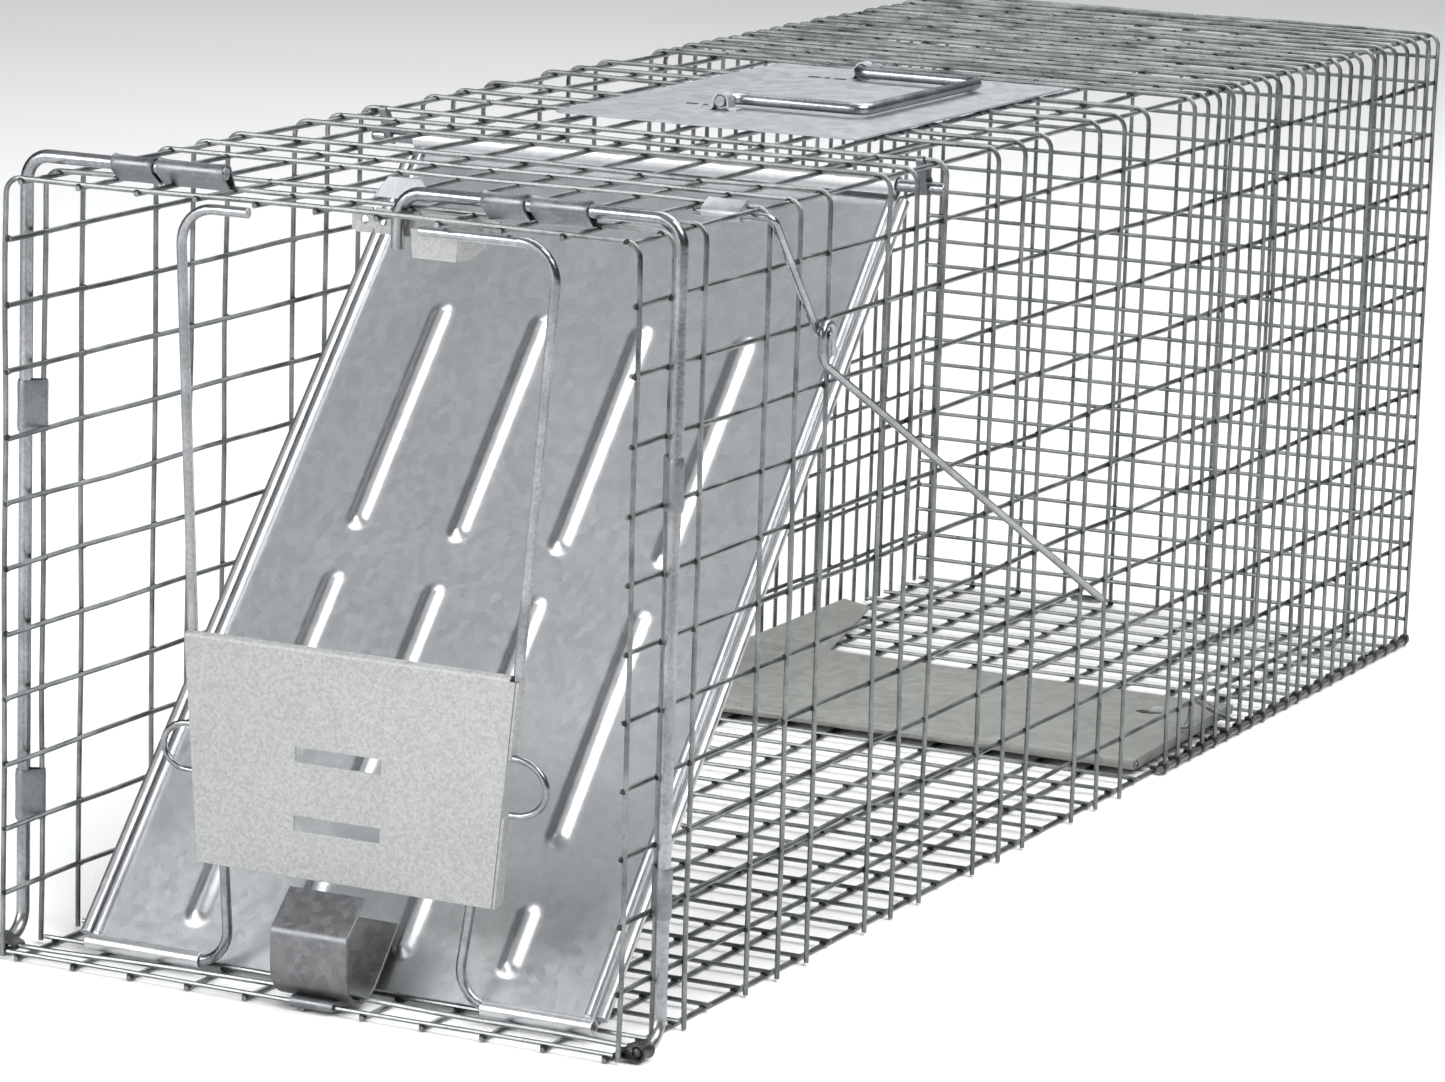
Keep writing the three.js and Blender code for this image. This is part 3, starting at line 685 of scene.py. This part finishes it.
def make_door():
    xs, ss = door_stations()
    body = Body()

    def layer(offset):
        rows = []
        for s in ss:
            rows.append([(x, s, -CURL + rib_depth(x, s) + offset) for x in xs])
        return rows

    def place(x, s, height):
        swell = 0.8 * MM * noise.noise(Vector((x * 9, s * 7, 4.2)))
        return Vector((x, -DOOR_LENGTH + s, height + swell))

    curl_angles = [-90 + 280 * i / 14 for i in range(1, 15)]
    for offset in (SHEET / 2, -SHEET / 2):
        for row in layer(offset):
            body.points += [place(*p) for p in row]
        radius = CURL - offset
        for angle in curl_angles:
            a = math.radians(angle)
            body.points += [Vector((x, radius * math.cos(a), radius * math.sin(a))) for x in xs]
    wide, rows = len(xs), len(ss) + len(curl_angles)
    under = wide * rows
    for r in range(rows - 1):
        for c in range(wide - 1):
            a = r * wide + c
            body.faces.append((a, a + 1, a + wide + 1, a + wide))
            body.faces.append((under + a, under + a + wide, under + a + wide + 1, under + a + 1))
    for c in range(wide - 1):
        body.faces.append((c, under + c, under + c + 1, c + 1))
        e = (rows - 1) * wide + c
        body.faces.append((e, e + 1, under + e + 1, under + e))
    for r in range(rows - 1):
        a, b = r * wide, (r + 1) * wide
        body.faces.append((a, b, under + b, under + a))
        a, b = a + wide - 1, b + wide - 1
        body.faces.append((a, under + a, under + b, b))
    piece("door_panel", body, "door", BRIGHT, ("door_sheet",), 60.0, DOOR_FRAME)

    for side in ("left", "right"):
        low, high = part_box("door_edge_" + side)
        x = (low.x + high.x) / 2
        radius = 2.5 * MM
        body = Body()
        line = subdivided(Vector((x, -5 * MM, -CURL)), Vector((x, -DOOR_LENGTH + 5 * MM, -CURL)), 20 * MM)
        body.tube(line, radius, 16)
        inner = x - math.copysign(5.2 * MM, x)
        line = [point + Vector((inner - x, 0, radius * 0.62)) for point in line]
        body.tube(line, radius * 0.55, 10)
        piece("door_rolled_edge_" + side, body, "door", BRIGHT, ("door_edge_" + side,),
              50.0, DOOR_FRAME, 0.25 * MM)
        low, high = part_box("door_sleeve_" + side)
        body = Body()
        outline = arc((0, 0), 3.1 * MM, -100, 215, 18)
        hollow = arc((0, 0), 2.25 * MM, -100, 215, 18)
        section = outline + hollow[::-1]
        stations = [low.x, low.x + 1 * MM, high.x - 1 * MM, high.x]
        body.loft([[Vector((sx, p.x, p.y)) for p in section] for sx in stations])
        turn = Matrix.Translation(Vector((0, SLEEVE.y, SLEEVE.z))) @ Matrix.Rotation(DOOR_SLOPE, 4, "X")
        piece("door_rolled_sleeve_" + side, body, "door", BRIGHT, ("door_sleeve_" + side,),
              40.0, turn, 0.15 * MM)

    low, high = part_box("door_finger_tab")
    body = Body()
    bottom = arc((-9.6 * MM, 10.4 * MM), 12.8 * MM, -45, -180, 20)
    lip = arc((-18.6 * MM, 22.6 * MM), 3.9 * MM, 180, 134, 5)
    line = [Vector((17.5, 21.8)) * MM, *bottom, *lip, Vector((-8.5, 37.5)) * MM]
    body.ribbon(line, 1.2 * MM, low.x, high.x)
    # the tab takes the darker sheet copy: painted shade on the curl
    piece("door_finger_curl", body, "door", TAB_PAINTED_SHADE, ("door_finger_tab",), 50.0,
          Matrix.Translation(Vector((0, SLEEVE.y, SLEEVE.z))), 0.25 * MM)

    body = Body()
    reach = WALL_X - SUNK - 1.5 * MM
    body.tube([Vector((-reach, HINGE.y, HINGE.z)), Vector((reach, HINGE.y, HINGE.z))], FRAME_R, 20)
    piece("door_hinge_axle", body, "cage", ROD, ("door_hinge_rod",), bevel=0.3 * MM)
    hoop = min(HOOPS, key=lambda y: abs(y - HINGE.y))
    for side in ("left", "right"):
        low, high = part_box("hinge_clip_" + side)
        wrap_clip("hinge_band_" + side, "hinge_clip_" + side, "x",
                  Vector((HINGE.y, HINGE.z)), Vector((hoop, ROOF_Z)), (low.x + high.x) / 2 - 1.6 * MM,
                  (low.x + high.x) / 2 + 1.6 * MM, 0.0)


# ------------ lock bail

BAIL_LEAN = math.radians(3)
BAIL_FRAME = Matrix.Translation(Vector((0, SLEEVE.y, SLEEVE.z))) @ Matrix.Rotation(BAIL_LEAN, 4, "X")
BAIL_TOP = 293.2
BAIL_R = 2 * MM
LEFT_LEG = [(-106, 0), (-44.5, 0), (-47, 70), (-58, 125), (-60.5, BAIL_TOP), (-31, BAIL_TOP)]
RIGHT_LEG = [(111, 0), (54, 0), (62, 45), (81, 125), (98.5, BAIL_TOP), (41, BAIL_TOP)]
PLATE_CORNERS = [(-56, 40.6), (71.5, 40.6), (82, 129), (-60, 129)]
PLATE_SLOTS = [(-12, 86, 25, 92), (-13, 59, 24, 65)]
PLATE_FRONT = -BAIL_R - 1.5 * MM
PLATE_BACK = -BAIL_R - 0.3 * MM


def make_lock_plate():
    """The plate with its two slots, the top edge folded back and a flange on its right edge."""
    (bl, zb), (br, _), (tr, zt), (tl, _) = PLATE_CORNERS
    zs = sorted({zb, zt} | {z for slot in PLATE_SLOTS for z in (slot[1], slot[3])})
    body = Body()

    def across(z):
        share = (z - zb) / (zt - zb)
        return bl + (tl - bl) * share, br + (tr - br) * share

    slot_xs = [(slot[0], slot[2]) for slot in PLATE_SLOTS]
    columns = sorted({x for pair in slot_xs for x in pair})
    grid = []
    for z in zs:
        left, right = across(z)
        grid.append([left, *columns, right])
    wide = len(grid[0])
    index = {}

    def corner(row, column, depth):
        key = (row, column, depth)
        if key not in index:
            index[key] = len(body.points)
            body.points.append(Vector((grid[row][column] * MM, depth, zs[row] * MM)))
        return index[key]

    def is_hole(row, column):
        x = (grid[row][column] + grid[row][column + 1]) / 2
        z = (zs[row] + zs[row + 1]) / 2
        return any(s[0] < x < s[2] and s[1] < z < s[3] for s in PLATE_SLOTS)

    solid = {(r, c) for r in range(len(zs) - 1) for c in range(wide - 1) if not is_hole(r, c)}
    for r, c in solid:
        ring = [(r, c), (r, c + 1), (r + 1, c + 1), (r + 1, c)]
        body.faces.append(tuple(corner(*p, PLATE_FRONT) for p in ring))
        body.faces.append(tuple(corner(*p, PLATE_BACK) for p in reversed(ring)))
        for step, (a, b) in {(-1, 0): (0, 1), (0, 1): (1, 2), (1, 0): (2, 3), (0, -1): (3, 0)}.items():
            if (r + step[0], c + step[1]) not in solid:
                p, q = ring[a], ring[b]
                body.faces.append((corner(*q, PLATE_FRONT), corner(*p, PLATE_FRONT),
                                   corner(*p, PLATE_BACK), corner(*q, PLATE_BACK)))
    piece("lock_plate_face", body, "lock_bail", DULL, ("lock_plate",), 30.0,
          BAIL_FRAME, 0.2 * MM)

    flange = Body()
    sheet = 1.1 * MM
    hem = arc((PLATE_FRONT + 2.3 * MM, (zt - 0.2) * MM), 2.3 * MM - sheet / 2, 180, 20, 8)
    hem.append(hem[-1] + Vector((0.3 * MM, -3.5 * MM)))
    flange.ribbon(hem, sheet, (tl + 0.2) * MM, (tr - 2.5) * MM)
    right_top, right_low = Vector((tr * MM, zt * MM)), Vector((br * MM, zb * MM))
    sections = []
    for share in (0.0, 1.0):
        p = right_low.lerp(right_top, share)
        x, z = p
        depth = 6.5 * MM
        section = [(x + 0.25 * MM, PLATE_FRONT), (x + sheet + 0.25 * MM, PLATE_FRONT + 0.4 * MM),
                   (x + sheet + 0.25 * MM, PLATE_FRONT + depth), (x + 0.25 * MM, PLATE_FRONT + depth)]
        sections.append([Vector((sx, sy, z)) for sx, sy in section])
    notch = (0.40, 0.66)
    for start, end in ((0.0, notch[0]), (notch[1], 1.0)):
        part = [[a.lerp(b, t) for a, b in zip(*sections)] for t in (start, end)]
        flange.loft(part)
    piece("lock_plate_flanges", flange, "lock_bail", DULL, (), 30.0, BAIL_FRAME, 0.2 * MM)


def make_bail():
    for side, corners in (("left", LEFT_LEG), ("right", RIGHT_LEG)):
        body = Body()
        line = rounded([(x * MM, 0, z * MM) for x, z in corners], 14 * MM, 8)
        body.tube(line, BAIL_R, 18)
        piece("lock_bail_leg_" + side, body, "lock_bail", ROD, ("lock_leg_" + side,),
              matrix=BAIL_FRAME, bevel=0.3 * MM)
    loop_y = (PLATE_FRONT + PLATE_BACK) / 2 + 0.1 * MM
    for side, start, sign in (("left", (-60.0, 76.0, 94.5), -1), ("right", (81.0, 77.5, 99.5), 1)):
        x, low, high = start
        middle, half = (low + high) / 2, (high - low) / 2
        line = [Vector(((x - sign * 2.5), 0, high)) * MM]
        for point in arc((x, middle), half, 90, -90, 14):
            bulge = 1.18
            line.append(Vector((x + sign * abs(point.x - x) * bulge, 0, point.y)) * MM)
        line.append(Vector(((x - sign * 2.5), 0, low)) * MM)
        line = [point + Vector((0, loop_y + 1.2 * MM, 0)) for point in line]
        body = Body()
        body.tube(line, 1.35 * MM, 12)
        piece("lock_wire_loop_" + side, body, "lock_bail", ROD, ("lock_loop_" + side,),
              matrix=BAIL_FRAME, bevel=0.2 * MM)
    make_lock_plate()


# ------------ catch bracket, lug and floor clip

def punched_strip(body, x_low, x_high, z_low, z_high, y, depth, holes, hole_r, steps=16):
    """A flat strip facing the front with round holes: a ring of faces round each hole in its own cell."""
    edges = [x_low]
    for first, second in zip(holes, holes[1:]):
        edges.append((first + second) / 2)
    edges.append(x_high)
    middle = (z_low + z_high) / 2
    for hole, left, right in zip(holes, edges, edges[1:]):
        ring, frame_points = [], []
        for i in range(steps):
            angle = 2 * math.pi * (i + 0.5) / steps
            c, s = math.cos(angle), math.sin(angle)
            ring.append((hole + hole_r * c, middle + hole_r * s))
            reach = min(((right if c > 0 else left) - hole) / c if abs(c) > 1e-6 else 1e9,
                        ((z_high if s > 0 else z_low) - middle) / s if abs(s) > 1e-6 else 1e9)
            frame_points.append((hole + reach * c, middle + reach * s))
        start = len(body.points)
        for depth_y in (y, y + depth):
            body.points += [Vector((px, depth_y, pz)) for px, pz in ring + frame_points]
        for i in range(steps):
            n = (i + 1) % steps
            r0, r1, f0, f1 = i, n, steps + i, steps + n
            back = 2 * steps
            body.faces += [tuple(start + v for v in face) for face in (
                (r0, r1, f1, f0), (back + r0, back + f0, back + f1, back + r1),
                (r0, back + r0, back + r1, r1), (f0, f1, back + f1, back + f0))]


def make_catch():
    low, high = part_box("catch_bracket")
    body = Body()
    holes = [low.x + share * (high.x - low.x) for share in (0.07, 0.2, 0.33, 0.62, 0.9)]
    punched_strip(body, low.x - 1 * MM, high.x, high.z - 9.5 * MM, high.z, low.y - 0.6 * MM,
                  1.1 * MM, holes, 1.7 * MM)
    box_left, box_right = low.x + 28.5 * MM, low.x + 48.5 * MM
    box_top, box_low = high.z - 5 * MM, low.z
    front, back = low.y - 9 * MM, low.y + 0.4 * MM
    sheet = 1.1 * MM
    face = [Vector((box_left, front, box_top)), Vector((box_right, front, box_top)),
            Vector((box_right - 1 * MM, front, box_low)), Vector((box_left + 1 * MM, front, box_low))]
    body.loft([face, [p + Vector((0, sheet, 0)) for p in face]])
    base_left, base_right = box_left + 1 * MM, box_right - 1 * MM
    floor_part = [Vector((base_left, front + sheet, box_low)), Vector((base_right, front + sheet, box_low)),
                  Vector((base_right, back, box_low)), Vector((base_left, back, box_low))]
    body.loft([floor_part, [p + Vector((0, 0, sheet)) for p in floor_part]])
    gusset = [Vector((box_right - 1 * MM, front, box_low)), Vector((box_right, front, box_top)),
              Vector((box_right + 13 * MM, back, box_top)), Vector((box_right + 1 * MM, back, box_low))]
    body.loft([gusset, [p + Vector((-0.9 * MM, 0.6 * MM, 0)) for p in gusset]])
    piece("catch_pocket", body, "cage", DULL, ("catch_bracket",), 30.0)

    low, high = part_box("catch_lug")
    body = Body()
    middle = (low.x + high.x) / 2
    half = (high.x - low.x) / 2
    profile = [(-half, 0.0), (-half * 0.62, 1.0), (half * 0.5, 1.0), (half, 0.0)]
    sections = []
    for depth in (0.0, 1.2 * MM):
        ring = []
        for x, share in profile:
            rise = share * (high.z - low.z)
            ring.append(Vector((middle + x, low.y + depth + share * 3 * MM, low.z + rise)))
        sections.append(ring)
    body.loft(sections)
    piece("catch_lug_plate", body, "cage", CLIP, ("catch_lug",), 30.0, bevel=0.3 * MM)

    low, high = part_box("floor_catch_clip")
    body = Body()
    wire = Vector((HOOPS[0], 3.2 * MM))
    outline = stadium(wire + Vector((-0.4 * MM, 0)), wire + Vector((4.5 * MM, -0.4 * MM)), 2.4 * MM, 2.2 * MM)
    stations = [(low.x, 0.4), (low.x + 1.5 * MM, 0.0), (low.x + 9 * MM, -0.2),
                (high.x - 4 * MM, 0.0), (high.x, -0.9)]
    sections = []
    for x, grow in stations:
        scale = 1 + grow * 0.15
        sections.append([Vector((x, wire.x + (p.x - wire.x) * scale, wire.y + (p.y - wire.y) * scale))
                         for p in outline])
    body.loft(sections)
    piece("floor_wire_crimp", body, "cage", CLIP, ("floor_catch_clip",), 35.0)


# ------------ guard plate and handle

def make_handle():
    low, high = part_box("guard_plate")
    body = Body()
    corner = 4 * MM
    outline = []
    for cx, cy, start in ((low.x + corner, low.y + corner, 180), (high.x - corner, low.y + corner, 270),
                          (high.x - corner, high.y - corner, 0), (low.x + corner, high.y - corner, 90)):
        outline += arc((cx, cy), corner, start, start + 90, 5)
    body.loft([[Vector((p.x, p.y, z)) for p in outline] for z in (low.z, high.z)])
    piece("guard_plate_sheet", body, "cage", GUARD, ("guard_plate",), 30.0, bevel=0.2 * MM)

    low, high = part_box("carry_handle")
    radius = (high.z - low.z) / 2 / math.cos(math.pi / 8)
    z = (low.z + high.z) / 2
    plate_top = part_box("guard_plate")[1].z
    hinge_x = joint_place("handle_hinge").x
    stub = 14 * MM
    legs = (low.y + stub, high.y - stub)
    route = [(hinge_x, low.y, z), (hinge_x, legs[0], z), (high.x - radius, legs[0], z),
             (high.x - radius, legs[1], z), (hinge_x, legs[1], z), (hinge_x, high.y, z)]
    body = Body()
    body.tube(rounded(route, 6.5 * MM, 8), radius, 20)
    piece("carry_handle_rod", body, "handle", ROD, ("carry_handle",), bevel=0.3 * MM)

    for side, leg in zip(("front", "rear"), legs):
        low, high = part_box("handle_bracket_" + side)
        x = hinge_x
        half = 0.4 * MM
        foot = plate_top + half + 0.05 * MM
        line = [Vector((x - 7.5 * MM, foot)), Vector((x - 4.6 * MM, foot)),
                Vector((x - 3.7 * MM, foot + 0.6 * MM))]
        line += arc((x, z), 3.2 * MM, 180, 0, 14)
        line += [Vector((x + 3.7 * MM, foot + 0.6 * MM)), Vector((x + 4.6 * MM, foot)),
                 Vector((x + 7.5 * MM, foot))]
        body = Body()
        outline_left, outline_right = [], []
        for i, point in enumerate(line):
            before, after = line[max(i - 1, 0)], line[min(i + 1, len(line) - 1)]
            run = (after - before).normalized()
            normal = Vector((-run.y, run.x)) * half
            outline_left.append(point + normal)
            outline_right.append(point - normal)
        outline = outline_left + outline_right[::-1]
        body.loft([[Vector((p.x, y, p.y)) for p in outline] for y in (low.y, high.y)])
        piece("handle_saddle_" + side, body, "cage", GUARD, ("handle_bracket_" + side,), 35.0)
        # the lanced slots are not cut: thin near-black pads on the plate are painted shade in the openings
        slots = Body()
        for start, end, half_width in ((-9.5, -4.5, 1.3), (-14.0, -12.4, 1.1), (-22.0, -17.0, 1.1)):
            left, right = x + start * MM, x + end * MM
            corners = [(left, leg - half_width * MM), (right, leg - half_width * MM),
                       (right, leg + half_width * MM), (left, leg + half_width * MM)]
            slots.loft([[Vector((cx, cy, cz)) for cx, cy in corners]
                        for cz in (plate_top + 0.02 * MM, plate_top + 0.3 * MM)])
        piece("handle_lance_painted_shade_" + side, slots, "cage", CLIP_PAINTED_SHADE)


# ------------ trip linkage and pan

CRANK_LEG_X = 136.9 * MM
TRIP_HOOK = 4.6 * MM
PAN_LENGTH = 119.4 * MM
PAN_RISE = math.radians(1.2)
LEVER_ROUTE = [(122, 58, 5), (128, 58, 5), (128, 60, 18.5), (128, 108, -2.5)]


def make_trip():
    crank = joint_place("latch_crank_pivot")
    eye = joint_place("trip_rod_pivot")
    low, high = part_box("latch_crank")
    radius = 1.7 * MM
    route = [(low.x, crank.y, crank.z), (CRANK_LEG_X, crank.y, crank.z),
             (CRANK_LEG_X, eye.y, eye.z), (high.x, eye.y, eye.z)]
    body = Body()
    body.tube(rounded(route, 3.2 * MM, 6), radius, 14)
    piece("latch_crank_rod", body, "latch_crank", ROD, ("latch_crank",), bevel=0.2 * MM)

    low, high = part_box("crank_clip")
    body = Body()
    centre = Vector((crank.y, crank.z))
    hoop = min(HOOPS, key=lambda y: abs(y - crank.y))
    rings = []
    for x, grow in ((low.x, 0.2), (low.x + 1 * MM, 0.0), (high.x - 1 * MM, 0.0), (high.x, 0.2)):
        outline = stadium(centre, Vector((hoop, ROOF_Z)), (2.7 + grow) * MM, (1.9 + grow) * MM)
        rings.append([Vector((x, p.x, p.y)) for p in outline])
    body.loft(rings)
    piece("crank_crimp", body, "cage", GUARD, ("crank_clip",), 35.0)

    low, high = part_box("trip_rod")
    rod_x = high.x - 1.6 * MM * math.cos(math.pi / 8)
    tip = Vector((rod_x, high.y - 1.5 * MM, low.z + 1.5 * MM))
    hook = TRIP_HOOK
    centre = Vector((rod_x, eye.y, eye.z))
    line = [centre + Vector((0, hook + 0.8 * MM, -8.5 * MM)), centre + Vector((0, hook + 0.2 * MM, -4 * MM))]
    line += [centre + Vector((0, p.x, p.y)) for p in arc((0, 0), hook, 0, 180, 14)]
    bend = centre + Vector((0, -hook, -9.5 * MM))
    line += rounded([centre + Vector((0, -hook, -1.5 * MM)), bend, tip, (low.x, tip.y, tip.z)], 6 * MM, 7)
    body = Body()
    body.tube(line, 1.6 * MM, 14)
    piece("trip_rod_wire", body, "trip_rod", ROD, ("trip_rod", "trip_rod_eye"), bevel=0.2 * MM)


def make_pan():
    hinge = joint_place("pan_tilt")
    low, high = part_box("trip_pan")
    matrix = Matrix.Translation(Vector((0, hinge.y, hinge.z))) @ Matrix.Rotation(PAN_RISE, 4, "X")
    length = PAN_LENGTH
    curl = 1.9 * MM
    line = [Vector((-p.x, p.y)) for p in arc((0, 0), curl, 90, -170, 16)][::-1]
    line += [Vector((length * share, curl)) for share in (0.1, 0.4, 0.7, 0.97)]
    line += [Vector((length, curl - 0.6 * MM)), Vector((length + 0.3 * MM, curl - 3.2 * MM))]
    body = Body()
    body.ribbon(line, 0.9 * MM, low.x, high.x, 6)
    for x in (low.x + 0.5 * MM, high.x - 0.5 * MM):
        top, foot = curl - 0.5 * MM, curl - 4.2 * MM
        corners = [(4 * MM, top), (length, top), (length, foot), (4 * MM, foot)]
        body.loft([[Vector((sx, y, z)) for y, z in corners] for sx in (x - 0.45 * MM, x + 0.45 * MM)])
    piece("treadle_pan", body, "pan", PAN, ("trip_pan",), 40.0, matrix)
    hole, top = Vector((97.4 * MM, 84 * MM)), curl + 0.47 * MM
    # the hole is not cut: a thin near-black pad on the pan is painted shade in the opening
    body = Body()
    rim = [(-6, -1.2), (-2.5, -3.2), (2.2, -2.2), (6.2, 0.6), (3.0, 2.6), (-1.5, 1.4), (-4.2, 2.2)]
    body.loft([[Vector((hole.x + x * MM, hole.y + y * MM, z)) for x, y in rim]
               for z in (top, top + 0.25 * MM)])
    piece("pan_hole_painted_shade", body, "pan", CLIP_PAINTED_SHADE, (), 30.0, matrix)
    body = Body()
    flap = [(1.0, -1.8, 0.3), (6.4, 0.4, 0.3), (7.4, 1.8, 2.4), (2.4, 0.6, 2.8)]
    body.loft([[Vector((hole.x + x * MM, hole.y + y * MM, top + (z + lift) * MM)) for x, y, z in flap]
               for lift in (0.0, 0.5)])
    piece("pan_punched_burr", body, "pan", BRIGHT, (), 30.0, matrix)

    body = Body()
    ends = Vector((low.x - 1.5 * MM, hinge.y, hinge.z)), Vector((high.x + 1.5 * MM, hinge.y, hinge.z))
    body.tube(list(ends), 1.5 * MM, 12)
    piece("pan_axle", body, "cage", ROD, ("pan_hinge_rod",), bevel=0.2 * MM)
    body = Body()
    body.tube(rounded([Vector(p) * MM for p in LEVER_ROUTE], 2.6 * MM, 6), 1.5 * MM, 12)
    piece("pan_lever_rod", body, "pan", ROD, ("pan_lever",), matrix=matrix, bevel=0.2 * MM)

    low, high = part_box("floor_edge_strip")
    body = Body()
    wall, base = low.x, 2.9 * WIRE_R + WIRE_R + 0.2 * MM
    rear = high.y - 32 * MM
    corners = [(wall, low.y, 2.5 * MM), (wall + 44 * MM, low.y, 0),
               (wall + 15 * MM, rear, 0), (wall, rear, 2.5 * MM)]
    body.loft([[Vector((x, y, base + z + lift)) for x, y, z in corners] for lift in (0.0, 0.9 * MM)])
    piece("edge_strip_sheet", body, "cage", PAN, ("floor_edge_strip",), 30.0, bevel=0.2 * MM)


# ------------ studio

LIGHTS = [  # name, place, size of the square, watts
    ("key", (-1.4, -2.3, 1.1), 1.2, 46.0),
    ("rib", (1.55, -0.55, 1.9), 1.3, 58.0),
    ("top", (0.2, 1.2, 2.6), 2.4, 62.0),
    ("front", (-0.2, -2.7, 0.6), 1.0, 8.0),
]
LIGHT_TARGET = Vector((0, 0, 0.15))


def make_studio():
    mesh = bpy.data.meshes.new("studio_floor")
    size = 6.0
    corners = [(-size, -size, 0), (size, -size, 0), (size, size, 0), (-size, size, 0)]
    mesh.from_pydata(corners, [], [(0, 1, 2, 3)])
    floor = bpy.data.objects.new("studio_floor", mesh)
    bpy.context.scene.collection.objects.link(floor)
    floor.location.z = -0.0002
    material, _, _, shader = new_material("studio_floor_white", 0.0, 0.9, (0.86, 0.86, 0.86))
    shader.inputs["Specular IOR Level"].default_value = 0.1
    mesh.materials.append(material)

    world = bpy.data.worlds.new("studio")
    bpy.context.scene.world = world
    world.use_nodes = True
    nodes, links = world.node_tree.nodes, world.node_tree.links
    nodes.clear()
    place = nodes.new("ShaderNodeTexCoord")
    split = nodes.new("ShaderNodeSeparateXYZ")
    links.new(place.outputs["Generated"], split.inputs["Vector"])
    side = ramp(nodes, links, map_range(nodes, links, split.outputs["X"], 0.0, 1.0, -1.0, 1.0),
                [(0.0, (0.1, 0.1, 0.11)), (0.13, (0.15, 0.155, 0.16)), (0.26, (0.56, 0.575, 0.59)),
                  (0.42, (0.6, 0.61, 0.62)), (0.64, (0.46, 0.47, 0.48)), (0.95, (0.15, 0.15, 0.16))])
    height = ramp(nodes, links, map_range(nodes, links, split.outputs["Z"], 0.0, 1.0, -1.0, 1.0),
                  [(0.5, (0.35, 0.35, 0.35)), (0.62, (0.7, 0.7, 0.7)), (0.8, (1.0, 1.0, 1.0)),
                   (1.0, (1.3, 1.3, 1.3))])
    both = mix_colour(nodes, links, 1.0, side, height, "MULTIPLY")
    studio = nodes.new("ShaderNodeBackground")
    studio.inputs["Strength"].default_value = 0.9
    links.new(both, studio.inputs["Color"])
    output = nodes.new("ShaderNodeOutputWorld")
    links.new(studio.outputs["Background"], output.inputs["Surface"])

    for name, place_at, size, power in LIGHTS:
        data = bpy.data.lights.new(name, "AREA")
        data.shape = "SQUARE"
        data.size = size
        data.energy = power
        light = bpy.data.objects.new(name, data)
        bpy.context.scene.collection.objects.link(light)
        light.location = place_at
        light.rotation_euler = (LIGHT_TARGET - Vector(place_at)).to_track_quat("-Z", "Y").to_euler()
    bpy.context.scene.view_settings.view_transform = "Standard"


make_camera()
make_mesh_walls()
make_welds()
make_seam()
make_frame_rods()
make_frame_clips()
make_catch()
make_door()
make_bail()
make_handle()
make_trip()
make_pan()
make_studio()
